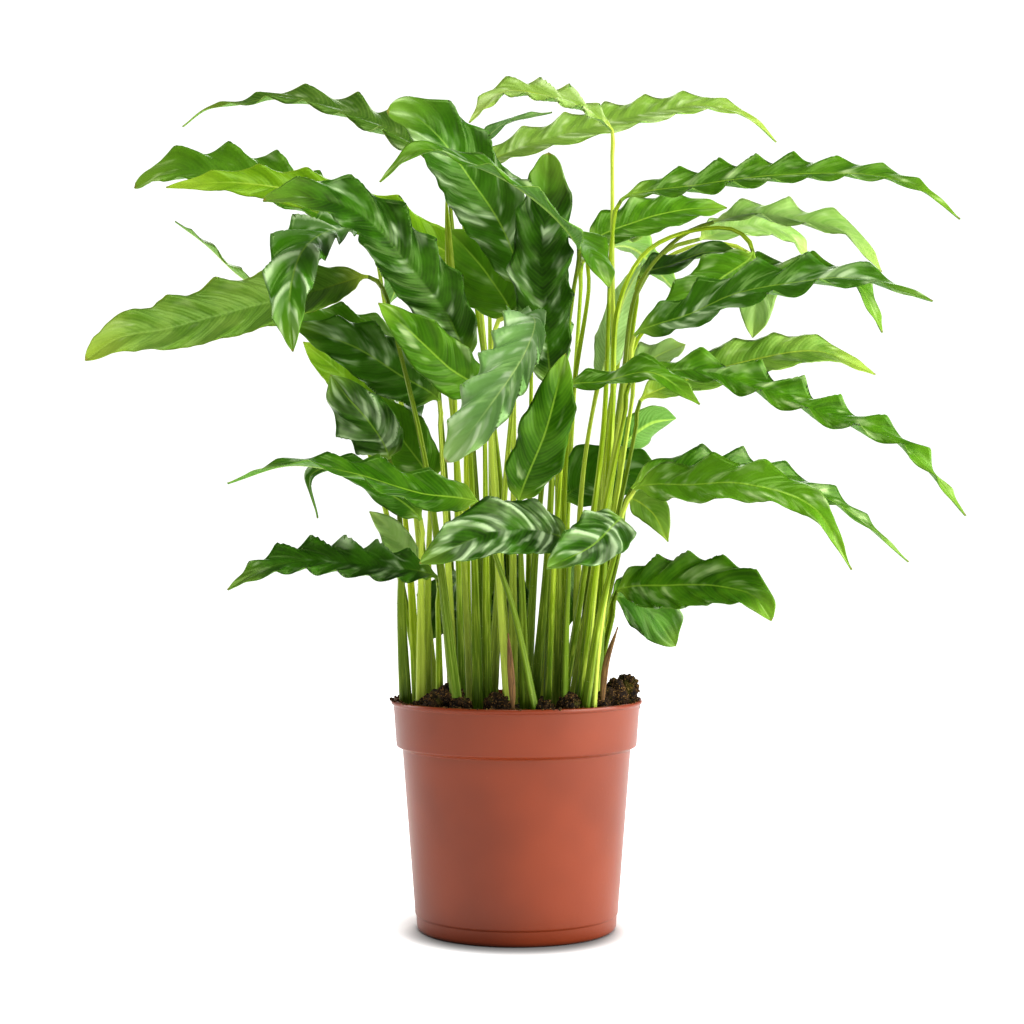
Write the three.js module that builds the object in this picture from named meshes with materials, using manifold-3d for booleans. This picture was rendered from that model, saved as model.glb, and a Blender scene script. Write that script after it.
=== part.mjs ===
// Potted calathea with long wavy leaves, in a round nursery pot. Millimetres, +Z up.
// The origin is the centre of the pot's base, and the plant faces -Y.
import * as THREE from 'three';
import { mergeVertices } from 'three/addons/utils/BufferGeometryUtils.js';
import Module from 'manifold-3d';

const wasm = await Module();
wasm.setup();

// Pot: a moulded cup with a deep rim band.
const POT = {
  height: 110.6,
  rimRadius: 60,
  rimBand: 22,
  rimTaper: 1.9,
  rimEdge: 1.2,
  shoulderDrop: 1.6,
  bodyTopRadius: 55.2,
  baseRadius: 48,
  footHeight: 8,
  footStep: 0.8,
  baseCorner: 3,
  wall: 1.4,
  floor: 2,
  sides: 36,
  drainHoles: 6,
  drainRadius: 4,
  drainCircle: 36,
  drainSides: 8,
};

// Soil: peat up to just under the rim, lumpy on top, with a plain hole for every stalk.
const SOIL = {
  top: 107,
  clearance: 0.5,
  holeSlack: 0.5,
  lump: 1.1,
  brimLump: 0.35,
  brimFade: 6,
  spokes: 18,
  rings: 3,
  holeDepth: 14,
  holeReach: 20,
  holeSides: 6,
};

// The peat's low lumps: turns per millimetre of the wide and the narrow swell, and the narrow one's share.
const SWELL = { wideX: 0.31, wideY: 0.27, narrowX: 0.17, narrowY: 0.43, share: 0.6 };

// Clods of peat that stand above the rim: centre and radius.
const CLODS = [
  { at: [-37, -34, 111], radius: 6.5 },
  { at: [-31, -37, 115], radius: 7 },
  { at: [-43, -27, 108], radius: 5.5 },
  { at: [46, -18, 112], radius: 7 },
  { at: [50, -6, 111], radius: 7.5 },
  { at: [54, -8, 118.5], radius: 6 },
  { at: [49, 6, 111], radius: 6 },
  { at: [44, 22, 108], radius: 7 },
  { at: [-47, 17, 107], radius: 6 },
];

// Leaf: a stalk that widens into a thin waved blade.
const LEAF = {
  stalkFoot: 2.1,
  stalkTop: 1.15,
  stalkStep: 42,
  wavePitch: 27,
  stepsPerWave: 4,
  ribThickness: 1.9,
  ribTipThickness: 0.9,
  edgeThickness: 0.7,
  tipHalfWidth: 0.7,
  swell: 0.55,
  taper: 0.8,
  keel: 0.22,
  outOfStep: 0.25,
  bow: 0.1,
  neck: 13,
  crowd: 1.5,
  samples: 240,
};

const COLOURS = {
  pot: '#b85f45',
  soil: '#2a1a12',
  deep: '#255a12',
  green: '#37761c',
  fresh: '#5d9a2c',
  pale: '#8fb56a',
  lime: '#8cbf2e',
  sheath: '#7a5430',
  shoot: '#8fb83a',
};

// Each leaf as it grew. root: where its stalk leaves the soil, x and y. bend: points that the stalk passes.
// rib: the blade's midrib from its base to its tip. faces: which way the upper side looks, at base and tip.
// half: half the blade's width. lift: height of the waves at the edge.
const LEAVES = [
  {
    name: 'leaf_left_high_far', tint: 'fresh', half: 11, lift: 3,
    root: [-14, 24], faces: [[0, -0.5, 1], [-0.2, -0.8, 0.8]],
    rib: [
      [-35, 46, 375], [-57, 56, 395], [-89, 69, 409], [-121, 80, 418],
      [-151, 88, 418], [-178, 94, 410],
    ],
  },
  {
    name: 'leaf_left_upper', tint: 'green', half: 16, lift: 4,
    root: [-40, 16], faces: [[0, -0.6, 1], [-0.3, -0.7, 0.8]],
    rib: [
      [-71, 36, 338], [-94, 42, 355], [-127, 52, 372], [-161, 62, 380],
      [-182, 67, 380], [-199, 70, 371],
    ],
  },
  {
    name: 'leaf_left_lime', tint: 'lime', half: 12, lift: 3,
    root: [-24, 4], faces: [[0, -0.8, 0.8], [0, -1, 0.6]],
    rib: [
      [-25, 10, 321], [-42, 10, 334], [-72, 12, 349], [-107, 14, 360],
      [-142, 18, 365], [-174, 22, 363],
    ],
  },
  {
    name: 'leaf_left_broad', tint: 'deep', half: 15, lift: 4,
    root: [-18, -36], faces: [[-0.2, -1, 0.3], [0, -0.8, 0.8]],
    rib: [
      [-23, -34, 269], [-33, -42, 294], [-48, -52, 313], [-70, -64, 336],
      [-95, -78, 342], [-112, -88, 338],
    ],
  },
  {
    name: 'leaf_left_silver', tint: 'deep', half: 14, lift: 4,
    root: [-22, -8], faces: [[0, -0.5, 1], [-0.25, -1, 0.1]],
    bend: [[-29, -8, 231], [-37, -10, 284], [-56, -14, 326]],
    rib: [[-77, -18, 336], [-88, -40, 334], [-98, -62, 320], [-102, -76, 297], [-100, -80, 272]],
  },
  {
    name: 'leaf_left_long', tint: 'fresh', half: 16, lift: 3,
    root: [-27, -42], faces: [[0, -1, 0.6], [0, -1, 0.5]],
    bend: [[-42, -44, 222], [-56, -40, 282], [-63, -32, 306]],
    rib: [
      [-70, -26, 312], [-97, -32, 305], [-129, -40, 296], [-162, -48, 286],
      [-183, -53, 281], [-197, -58, 270],
    ],
  },
  {
    name: 'leaf_left_edge_on', tint: 'fresh', half: 9, lift: 3,
    root: [-46, 24], faces: [[0.5, -0.1, 0.85], [0.6, 0, 0.8]],
    rib: [[-94, 40, 296], [-142, 66, 325], [-162, 80, 343], [-181, 92, 357]],
  },
  {
    name: 'leaf_left_mid_upper', tint: 'green', half: 12, lift: 3,
    root: [-30, 8], faces: [[0, -0.7, 0.8], [0, -0.8, 0.7]],
    rib: [[-54, -2, 279], [-80, -8, 289], [-106, -12, 293], [-122, -14, 291]],
  },
  {
    name: 'leaf_left_mid_dark', tint: 'deep', half: 14, lift: 4,
    root: [-30, -20], faces: [[-0.1, -1, 0.6], [0, -1, 0.4]],
    rib: [[-37, -18, 254], [-55, -24, 266], [-76, -28, 279], [-105, -30, 289]],
  },
  {
    name: 'leaf_left_inner', tint: 'green', half: 12, lift: 3,
    root: [-14, -28], faces: [[-0.1, -1, 0.5], [0, -1, 0.5]],
    rib: [[-15, -38, 255], [-32, -50, 268], [-47, -56, 282], [-63, -58, 296]],
  },
  {
    name: 'leaf_left_hanging_dark', tint: 'deep', half: 14, lift: 4,
    root: [-53, -8], faces: [[-0.4, -1, 0.2], [-0.3, -1, 0.1]],
    bend: [[-55, -14, 154], [-55, -20, 192]],
    rib: [[-60, -28, 226], [-69, -38, 242], [-79, -44, 254], [-86, -46, 264]],
  },
  {
    name: 'leaf_left_low_bright', tint: 'green', half: 12, lift: 3,
    root: [9, -50], faces: [[0, -1, 0.8], [0, -0.4, 1]],
    rib: [[-17, -60, 204], [-44, -70, 210], [-74, -82, 219], [-100, -92, 222], [-126, -100, 213]],
  },
  {
    name: 'leaf_left_low_curl', tint: 'deep', half: 8, lift: 3,
    root: [-45, -26], faces: [[0, -1, 0.6], [-1, -0.4, 0.3]],
    rib: [[-45, -30, 197], [-61, -34, 211], [-81, -38, 222], [-96, -40, 218], [-93, -40, 198]],
  },
  {
    name: 'leaf_left_low_wavy', tint: 'deep', half: 11, lift: 5,
    root: [-36, -32], faces: [[0, -0.7, 1], [0, -0.7, 1]],
    rib: [[-37, -40, 170], [-67, -52, 177], [-98, -65, 179], [-114, -72, 175], [-129, -78, 166]],
  },
  {
    name: 'leaf_left_lime_low', tint: 'lime', half: 11, lift: 3,
    root: [-48, 8], faces: [[0, -0.9, 0.4], [0, -1, 0.4]],
    rib: [[-58, 8, 237], [-82, 20, 266], [-107, 34, 287]],
  },
  {
    name: 'leaf_left_mid_green', tint: 'green', half: 13, lift: 3,
    root: [-44, -8], faces: [[0, -1, 0.3], [0, -1, 0.3]],
    rib: [[-41, -12, 215], [-56, -10, 238], [-70, -8, 258]],
  },
  {
    name: 'leaf_centre_broad', tint: 'deep', half: 17, lift: 5,
    root: [-12, -14], faces: [[-0.1, -1, 0.3], [-0.2, -0.9, 0.6]],
    rib: [
      [3, -22, 306], [-6, -28, 334], [-21, -36, 357], [-36, -44, 376],
      [-47, -47, 384], [-60, -48, 386],
    ],
  },
  {
    name: 'leaf_centre_over', tint: 'green', half: 9, lift: 3,
    root: [8, -18], faces: [[0.2, -0.5, 1], [-0.3, -0.8, 0.6]],
    bend: [[14, -16, 169], [19, -14, 245], [27, -22, 306]],
    rib: [
      [29, -38, 324], [19, -58, 336], [-1, -63, 351], [-21, -64, 360],
      [-44, -66, 365], [-62, -68, 350],
    ],
  },
  {
    name: 'leaf_centre_triangle', tint: 'green', half: 10, lift: 3,
    root: [20, 1], faces: [[0.3, -0.3, 1], [0.5, -1, 0.2]],
    bend: [[20, 0, 231], [19, 0, 289]],
    rib: [[24, -6, 337], [34, -26, 327], [43, -44, 305]],
  },
  {
    name: 'leaf_centre_upright', tint: 'deep', half: 15, lift: 4,
    root: [4, -30], faces: [[0, -1, 0.1], [0, -1, -0.2]],
    rib: [[16, -38, 257], [13, -42, 289], [11, -42, 320], [14, -39, 348], [15, -36, 369]],
  },
  {
    name: 'leaf_centre_silver', tint: 'deep', half: 16, lift: 5,
    root: [-4, -44], faces: [[0.2, -0.3, 1], [-0.2, -1, 0.5]],
    bend: [[-12, -50, 243], [-11, -50, 277], [-9, -52, 288]],
    rib: [[-4, -56, 290], [8, -76, 288], [3, -94, 270], [-12, -102, 247], [-31, -100, 222]],
  },
  {
    name: 'leaf_centre_low_green', tint: 'green', half: 12, lift: 3,
    root: [4, -42], faces: [[0, -1, 0.1], [0, -1, 0]],
    rib: [[1, -58, 205], [13, -70, 237], [22, -68, 272]],
  },
  {
    name: 'leaf_centre_back', tint: 'green', half: 17, lift: 3,
    root: [-2, -2], faces: [[0, -1, 0.3], [0, -1, 0.2]],
    rib: [[-1, -4, 294], [-14, 0, 317], [-33, 4, 339]],
  },
  {
    name: 'leaf_centre_front', tint: 'deep', half: 15, lift: 4,
    root: [22, -44], faces: [[0, -0.8, 0.9], [0, -1, 0.7]],
    rib: [[24, -66, 187], [-7, -88, 193], [-42, -108, 178]],
  },
  {
    name: 'leaf_centre_front_right', tint: 'deep', half: 13, lift: 4,
    root: [31, -44], faces: [[0.1, -0.8, 0.9], [-0.2, -1, 0.6]],
    rib: [[48, -58, 197], [33, -86, 186], [13, -106, 176]],
  },
  {
    name: 'leaf_top_arch', tint: 'fresh', half: 9, lift: 3,
    root: [27, 6], faces: [[0, -0.3, 1], [-0.5, -0.8, 0.4]],
    bend: [[46, 6, 236], [47, 8, 329], [47, 9, 378]],
    rib: [[47, 8, 388], [34, 6, 399], [15, 2, 405], [-7, 0, 406], [-23, -4, 390]],
  },
  {
    name: 'leaf_top_long', tint: 'fresh', half: 11, lift: 4,
    root: [-4, 26], faces: [[0, -0.6, 1], [0.2, -0.6, 0.9]],
    rib: [
      [-24, 34, 371], [2, 36, 386], [32, 42, 396], [66, 54, 407],
      [99, 67, 414], [122, 75, 409], [137, 80, 397],
    ],
  },
  {
    name: 'leaf_top_thin', tint: 'deep', half: 4, lift: 2,
    root: [2, 38], faces: [[0, -0.5, 0.9], [0, -0.5, 1]],
    rib: [[-30, 56, 372], [-8, 52, 400], [18, 48, 406]],
  },
  {
    name: 'leaf_right_high', tint: 'green', half: 12, lift: 4,
    root: [22, -16], faces: [[0, -0.7, 1], [0.2, -0.7, 0.9]],
    bend: [[41, -14, 235], [44, -12, 293], [46, -10, 334]],
    rib: [
      [50, -16, 350], [87, -26, 357], [128, -36, 360], [168, -46, 357],
      [187, -52, 349], [203, -56, 335],
    ],
  },
  {
    name: 'leaf_right_upper', tint: 'green', half: 12, lift: 3,
    root: [24, 18], faces: [[0, -0.9, 0.6], [0, -0.9, 0.6]],
    bend: [[24, 18, 222], [29, 20, 267], [36, 24, 312]],
    rib: [[37, 26, 335], [62, 34, 349], [86, 44, 356], [108, 54, 358]],
  },
  {
    name: 'leaf_right_pale_arch', tint: 'fresh', half: 10, lift: 3,
    root: [32, -13], faces: [[0, -0.6, 1], [0.5, -0.8, 0.6]],
    bend: [[51, -10, 264], [59, -9, 310], [79, -6, 334]],
    rib: [[95, -7, 341], [113, -8, 346], [136, -8, 343], [159, -8, 337], [176, -8, 317]],
  },
  {
    name: 'leaf_right_pale_back', tint: 'pale', half: 10, lift: 3,
    root: [30, 26], faces: [[0, -0.7, 0.8], [0.3, -0.8, 0.6]],
    bend: [[49, 28, 267], [59, 30, 308], [76, 32, 333]],
    rib: [[92, 36, 339], [117, 50, 349], [142, 64, 346], [154, 72, 331]],
  },
  {
    name: 'leaf_right_dark_small', tint: 'deep', half: 8, lift: 3,
    root: [36, 0], faces: [[0, -0.6, 0.9], [0.2, -0.6, 0.9]],
    rib: [[60, 3, 316], [76, 5, 323], [94, 6, 329], [111, 4, 327]],
  },
  {
    name: 'leaf_right_drooping', tint: 'green', half: 12, lift: 4,
    root: [37, -27], faces: [[0.2, -0.8, 0.7], [0.2, -1, 0.5]],
    bend: [[45, -26, 244], [49, -22, 301], [63, -18, 326], [87, -16, 336], [105, -18, 335]],
    rib: [[112, -24, 324], [97, -29, 312], [79, -31, 299], [63, -30, 289]],
  },
  {
    name: 'leaf_right_twisted', tint: 'deep', half: 13, lift: 5,
    root: [30, -28], faces: [[0, -0.7, 0.8], [0.2, -0.5, 1]],
    rib: [
      [55, -38, 283], [80, -50, 293], [99, -60, 301], [123, -68, 305],
      [151, -76, 306], [184, -86, 294],
    ],
  },
  {
    name: 'leaf_right_hooked', tint: 'green', half: 12, lift: 4,
    root: [30, -5], faces: [[0, -0.7, 0.9], [0.8, -0.7, 0.3]],
    bend: [[51, -4, 246], [60, -5, 287]],
    rib: [[83, -9, 302], [109, -13, 314], [135, -17, 316], [161, -22, 311], [173, -26, 286]],
  },
  {
    name: 'leaf_right_pale_tip', tint: 'pale', half: 11, lift: 2,
    root: [33, 16], faces: [[0.4, -0.9, 0.4], [0.1, -1, 0.1]],
    bend: [[49, 22, 267], [61, 22, 316], [91, 20, 334]],
    rib: [[114, 18, 330], [118, 14, 313], [116, 10, 287]],
  },
  {
    name: 'leaf_right_mid_light', tint: 'fresh', half: 12, lift: 3,
    root: [39, -4], faces: [[0, -0.8, 0.7], [0.1, -0.8, 0.7]],
    rib: [[60, 0, 255], [90, 10, 269], [118, 22, 278], [153, 36, 283], [183, 48, 272]],
  },
  {
    name: 'leaf_right_long_wavy', tint: 'green', half: 10, lift: 5,
    root: [28, -38], faces: [[0, -0.7, 1], [0.5, -0.5, 0.8]],
    rib: [
      [52, -52, 260], [79, -58, 266], [110, -64, 258], [141, -70, 245],
      [173, -76, 231], [199, -84, 199],
    ],
  },
  {
    name: 'leaf_right_strip', tint: 'green', half: 8, lift: 3,
    root: [14, -36], faces: [[0, -0.5, 1], [0.2, -0.9, 0.6]],
    rib: [[23, -50, 258], [40, -58, 261], [61, -68, 264], [82, -74, 249]],
  },
  {
    name: 'leaf_right_shadow', tint: 'deep', half: 16, lift: 3,
    root: [12, 38], faces: [[0, -1, 0.3], [0, -1, 0.4]],
    rib: [[23, 40, 207], [46, 41, 222], [75, 40, 219]],
  },
  {
    name: 'leaf_right_low_bright', tint: 'green', half: 12, lift: 4,
    root: [36, -40], faces: [[0, -0.7, 0.8], [0.2, -1, 0.6]],
    bend: [[40, -40, 141], [46, -39, 178]],
    rib: [[55, -40, 211], [80, -52, 214], [103, -66, 214], [132, -78, 203], [148, -86, 175]],
  },
  {
    name: 'leaf_right_low_wavy', tint: 'green', half: 11, lift: 4,
    root: [39, -22], faces: [[0, -0.6, 1], [0.5, -0.6, 0.8]],
    bend: [[43, -20, 150], [49, -17, 183]],
    rib: [[55, -14, 212], [83, -8, 223], [119, 2, 220], [160, 14, 205], [195, 24, 177]],
  },
  {
    name: 'leaf_right_low_small', tint: 'fresh', half: 10, lift: 2,
    root: [40, 18], faces: [[0.3, -1, 0.5], [0.5, -1, 0.1]],
    bend: [[43, 20, 148], [48, 22, 178]],
    rib: [[55, 24, 208], [67, 22, 202], [75, 18, 187]],
  },
  {
    name: 'leaf_right_bottom', tint: 'green', half: 14, lift: 4,
    root: [43, -13], faces: [[0, -0.9, 0.7], [0.3, -0.8, 0.6]],
    rib: [[48, -14, 163], [71, -28, 167], [95, -40, 167], [110, -48, 162], [117, -52, 151]],
  },
  {
    name: 'leaf_right_bottom_dark', tint: 'deep', half: 16, lift: 4,
    root: [42, 0], faces: [[0.2, -1, 0.6], [0.2, -1, 0.3]],
    rib: [[47, 6, 160], [65, 14, 154], [79, 22, 135]],
  },
  {
    name: 'leaf_back_high_left', tint: 'green', half: 13, lift: 4,
    root: [-30, 34], faces: [[0.2, -0.5, 0.9], [-0.2, 0.6, 0.8]],
    rib: [[-44, 58, 318], [-56, 94, 338], [-70, 132, 318]],
  },
  {
    name: 'leaf_back_high', tint: 'deep', half: 14, lift: 4,
    root: [-12, 44], faces: [[0, -0.5, 0.9], [0, 0.6, 0.8]],
    rib: [[-14, 66, 338], [-10, 110, 362], [-6, 156, 340]],
  },
  {
    name: 'leaf_back_middle', tint: 'green', half: 14, lift: 4,
    root: [6, 46], faces: [[-0.1, -0.5, 0.9], [0.1, 0.6, 0.8]],
    rib: [[8, 72, 290], [16, 116, 308], [24, 160, 276]],
  },
  {
    name: 'leaf_back_high_right', tint: 'fresh', half: 12, lift: 3,
    root: [22, 40], faces: [[-0.3, -0.4, 0.9], [0.4, 0.5, 0.8]],
    rib: [[34, 62, 330], [60, 98, 346], [92, 134, 322]],
  },
  {
    name: 'leaf_right_pale_low', tint: 'pale', half: 10, lift: 3,
    root: [36, 26], faces: [[0.2, 0.8, 0.6], [0.3, 0.8, 0.6]],
    rib: [[53, 27, 234], [66, 30, 246], [80, 36, 249]],
  },
  {
    name: 'leaf_back_left', tint: 'deep', half: 13, lift: 4,
    root: [-42, 30], faces: [[0.2, -0.5, 0.9], [-0.2, 0.6, 0.8]],
    rib: [[-54, 54, 246], [-66, 94, 262], [-78, 134, 228]],
  },
  {
    name: 'leaf_left_small_silver', tint: 'pale', half: 9, lift: 3,
    root: [-46, -17], faces: [[-0.5, -1, 0.3], [-0.3, -1, 0.4]],
    rib: [[-46, -20, 172], [-54, -23, 184], [-61, -27, 194], [-69, -30, 201]],
  },
  {
    name: 'leaf_right_pale_inner', tint: 'pale', half: 8, lift: 2,
    root: [30, 11], faces: [[0, 0.9, 0.4], [0.2, 0.9, 0.3]],
    bend: [[30, 12, 168], [33, 13, 222]],
    rib: [[41, 14, 267], [47, 14, 286], [53, 14, 306], [62, 13, 324]],
  },
  {
    name: 'leaf_right_lime_small', tint: 'lime', half: 9, lift: 3,
    root: [44, 12], faces: [[-0.2, -0.9, 0.7], [0, -0.9, 0.7]],
    rib: [[59, 20, 271], [72, 28, 281], [85, 36, 286]],
  },
];

// Rolled young leaves and dry sheaths, in the same terms as the leaves.
const SHOOTS = [
  {
    name: 'shoot_left', tint: 'shoot', half: 2.4,
    root: [-26, -16], faces: [[0, -1, 0.2], [0, -1, 0.2]],
    rib: [[-30, -14, 270], [-32, -12, 318], [-34, -10, 354]],
  },
];
const SHEATHS = [
  {
    name: 'sheath_right', tint: 'sheath', half: 3.2, lift: 0,
    root: [41, -33], faces: [[-0.4, -1, 0.2], [-0.4, -1, 0.2]], bend: [],
    rib: [[41, -33, 114], [42, -34, 128], [47, -35, 146]],
  },
  {
    name: 'sheath_middle', tint: 'sheath', half: 3, lift: 0,
    root: [-3, -51], faces: [[0, -1, 0.2], [0, -1, 0.2]], bend: [],
    rib: [[-3, -51, 114], [-4, -51, 128], [-5, -50, 144]],
  },
];

const toVector = (p) => new THREE.Vector3(p[0], p[1], p[2]);
const mix = THREE.MathUtils.lerp;
const UP = new THREE.Vector3(0, 1, 0);
const FRONT = new THREE.Vector3(0, -1, 0);

function namedMesh(name, positions, index, colour, roughness) {
  const geometry = new THREE.BufferGeometry();
  geometry.setAttribute('position', new THREE.Float32BufferAttribute(positions, 3));
  geometry.setIndex(index);
  geometry.computeVertexNormals();
  const material = new THREE.MeshStandardMaterial({ color: colour, roughness, metalness: 0 });
  const mesh = new THREE.Mesh(geometry, material);
  mesh.name = name;
  return mesh;
}

// A closed mesh as a solid for cuts. Slivers at a lathe's axis are dropped.
function toSolid(geometry) {
  const bare = geometry.clone();
  bare.deleteAttribute('normal');
  bare.deleteAttribute('uv');
  const merged = mergeVertices(bare, 1e-3);
  const corners = merged.index.array;
  const kept = [];
  for (let i = 0; i < corners.length; i += 3) {
    const [a, b, c] = corners.subarray(i, i + 3);
    if (a !== b && b !== c && c !== a) kept.push(a, b, c);
  }
  return new wasm.Manifold(new wasm.Mesh({
    numProp: 3,
    vertProperties: Float32Array.from(merged.attributes.position.array),
    triVerts: Uint32Array.from(kept),
  }));
}

function fromSolid(name, solid, colour, roughness) {
  const mesh = solid.getMesh();
  return namedMesh(name, Array.from(mesh.vertProperties), Array.from(mesh.triVerts), colour, roughness);
}

// A lathe about Z from [radius, height] points.
function turned(profile, sides) {
  const points = profile.map(([r, z]) => new THREE.Vector2(r, z));
  return new THREE.LatheGeometry(points, sides).rotateX(Math.PI / 2);
}

// A straight rod between two points, to cut holes with.
function rod(from, to, radius, sides) {
  const along = to.clone().sub(from);
  const shape = new THREE.CylinderGeometry(radius, radius, along.length(), sides);
  const turn = new THREE.Quaternion().setFromUnitVectors(UP, along.clone().normalize());
  const middle = from.clone().add(to).multiplyScalar(0.5);
  return toSolid(shape.applyQuaternion(turn).translate(middle.x, middle.y, middle.z));
}

function drainHole(x, y) {
  const bottom = new THREE.Vector3(x, y, -1);
  const top = new THREE.Vector3(x, y, POT.floor + 1);
  return rod(bottom, top, POT.drainRadius, POT.drainSides);
}

// Heights and radii of the pot's outside and inside, which the soil follows too.
const SHOULDER = POT.height - POT.rimBand;
const BAND_RADIUS = POT.rimRadius - POT.rimTaper;

function potOutside() {
  const corner = POT.baseCorner;
  const foot = mix(POT.baseRadius, POT.bodyTopRadius, POT.footHeight / SHOULDER);
  return [
    [0, 0],
    [POT.baseRadius - corner, 0],
    [POT.baseRadius - corner * 0.3, corner * 0.3],
    [POT.baseRadius, corner],
    [foot - 0.2, POT.footHeight - POT.footStep],
    [foot + POT.footStep * 0.5, POT.footHeight],
    [POT.bodyTopRadius, SHOULDER - POT.shoulderDrop],
    [BAND_RADIUS, SHOULDER],
    [POT.rimRadius, POT.height - POT.rimEdge],
    [POT.rimRadius - 0.4, POT.height],
  ];
}

function potInside(gap) {
  const skin = POT.wall + gap;
  return [
    [POT.rimRadius - skin, POT.height - POT.rimEdge],
    [BAND_RADIUS - skin, SHOULDER + 1],
    [POT.bodyTopRadius - skin, SHOULDER - POT.shoulderDrop - 1],
    [POT.baseRadius - skin, POT.baseCorner + POT.floor],
    [POT.baseRadius - skin - POT.baseCorner, POT.floor + gap],
    [0, POT.floor + gap],
  ];
}

function buildPot() {
  const lip = [POT.rimRadius - POT.wall + 0.2, POT.height];
  let solid = toSolid(turned([...potOutside(), lip, ...potInside(0)], POT.sides));
  for (let i = 0; i < POT.drainHoles; i += 1) {
    const angle = i / POT.drainHoles * 2 * Math.PI;
    const x = POT.drainCircle * Math.cos(angle);
    const y = POT.drainCircle * Math.sin(angle);
    solid = solid.subtract(drainHole(x, y));
  }
  return fromSolid('pot', solid, COLOURS.pot, 0.4);
}

// Height of the peat at a place: low lumps.
function soilHeight(x, y) {
  const wide = Math.sin(x * SWELL.wideX + 1) * Math.cos(y * SWELL.wideY);
  const narrow = SWELL.share * Math.sin(x * SWELL.narrowX - y * SWELL.narrowY);
  return SOIL.top + SOIL.lump * (wide + narrow);
}

// Radius of the soil's side at a height, just inside the pot.
function soilRadius(z) {
  const wall = potInside(SOIL.clearance);
  for (let i = 0; i + 1 < wall.length; i += 1) {
    const [r1, z1] = wall[i];
    const [r0, z0] = wall[i + 1];
    if (z >= z0) return mix(r0, r1, (z - z0) / (z1 - z0));
  }
  return 0;
}

function buildSoil() {
  const rings = [[0, null]];
  const brim = soilRadius(SOIL.top - 2);
  for (let i = 1; i <= SOIL.rings; i += 1) rings.push([brim * i / SOIL.rings, null]);
  const wall = potInside(SOIL.clearance).slice(1);
  wall.forEach((point) => rings.push(point));
  const profile = rings.map(([r, z]) => [r, z ?? SOIL.top]).reverse();
  const geometry = turned(profile, SOIL.spokes);
  const place = geometry.attributes.position;
  for (let i = 0; i < place.count; i += 1) {
    if (Math.abs(place.getZ(i) - SOIL.top) < 1e-3) {
      const x = place.getX(i);
      const y = place.getY(i);
      const fade = Math.min(1, (brim - Math.hypot(x, y)) / SOIL.brimFade + SOIL.brimLump);
      place.setZ(i, SOIL.top + (soilHeight(x, y) - SOIL.top) * fade);
    }
  }
  let solid = toSolid(geometry);
  CLODS.forEach(({ at, radius }) => {
    solid = solid.add(toSolid(new THREE.IcosahedronGeometry(radius).translate(...at)));
  });
  const stems = [...LEAVES, ...SHOOTS, ...SHEATHS];
  stems.forEach((stem) => {
    const [foot, root] = stemLine(stem).curve.points;
    const along = root.clone().sub(foot).normalize();
    const from = foot.clone().addScaledVector(along, -SOIL.holeSlack);
    const to = root.clone().addScaledVector(along, SOIL.holeReach);
    solid = solid.subtract(rod(from, to, LEAF.stalkFoot + SOIL.holeSlack + SOIL.clearance, SOIL.holeSides));
  });
  const pieces = solid.decompose().sort((a, b) => b.volume() - a.volume());
  return fromSolid('soil', pieces[0], COLOURS.soil, 0.95);
}

// With no bend given, a stalk bows out a little at half height and turns only just below the blade.
function plainBend(root, base) {
  const rise = base.clone().sub(root);
  const middle = root.clone().addScaledVector(rise, 0.5);
  middle.x -= rise.x * LEAF.bow;
  middle.y -= rise.y * LEAF.bow;
  const neck = base.clone().addScaledVector(rise.normalize(), -LEAF.neck);
  return [middle, neck];
}

// A stem's line: up out of its hole, through its bends to the blade's base, and on along the midrib.
function stemLine(stem) {
  const root = new THREE.Vector3(stem.root[0], stem.root[1], SOIL.top);
  const base = toVector(stem.rib[0]);
  const bends = stem.bend ? stem.bend.map(toVector) : plainBend(root, base);
  const lean = (bends[0] ?? base).clone().sub(root).normalize();
  const foot = root.clone().addScaledVector(lean, -SOIL.holeDepth);
  const points = [foot, root, ...bends, ...stem.rib.map(toVector)];
  const curve = new THREE.CatmullRomCurve3(points, false, 'centripetal');
  return { curve, baseShare: (2 + bends.length) / (points.length - 1) };
}

// Lengths along the line, so that its stations can be set out in millimetres.
function measure({ curve, baseShare }) {
  const lengths = [0];
  let last = curve.getPoint(0);
  for (let i = 1; i <= LEAF.samples; i += 1) {
    const next = curve.getPoint(i / LEAF.samples);
    lengths.push(lengths[i - 1] + next.distanceTo(last));
    last = next;
  }
  const lengthAt = (t) => {
    const i = Math.min(Math.floor(t * LEAF.samples), LEAF.samples - 1);
    return mix(lengths[i], lengths[i + 1], t * LEAF.samples - i);
  };
  const shareAt = (length) => {
    let i = 0;
    while (i < LEAF.samples - 1 && lengths[i + 1] < length) i += 1;
    const share = (length - lengths[i]) / (lengths[i + 1] - lengths[i]);
    return Math.min(1, (i + share) / LEAF.samples);
  };
  return { total: lengths[LEAF.samples], base: lengthAt(baseShare), shareAt };
}

// Half width of the blade at u from 0 to 1: narrow at both ends, widest at about two fifths.
function outline(u) {
  const peak = LEAF.swell / (LEAF.swell + LEAF.taper);
  return (u / peak) ** LEAF.swell * ((1 - u) / (1 - peak)) ** LEAF.taper;
}

// Height of an edge's wave at u. The two edges are out of step.
function wave(leaf, u, waves, side) {
  const swing = Math.sin(2 * Math.PI * (waves * u + (side > 0 ? 0 : LEAF.outOfStep)));
  return leaf.lift * Math.sqrt(Math.sin(Math.PI * u)) * swing;
}

// Six points round a circle: left to right over the top, and back below.
function hexagon(r) {
  const side = r * Math.sqrt(3) / 2;
  return [[-side, r / 2], [0, r], [side, r / 2], [side, -r / 2], [0, -r], [-side, -r / 2]];
}

// Round a stalk at v from 0 to 1.
function stalkRing(v) {
  return hexagon(mix(LEAF.stalkFoot, LEAF.stalkTop, v));
}

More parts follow.
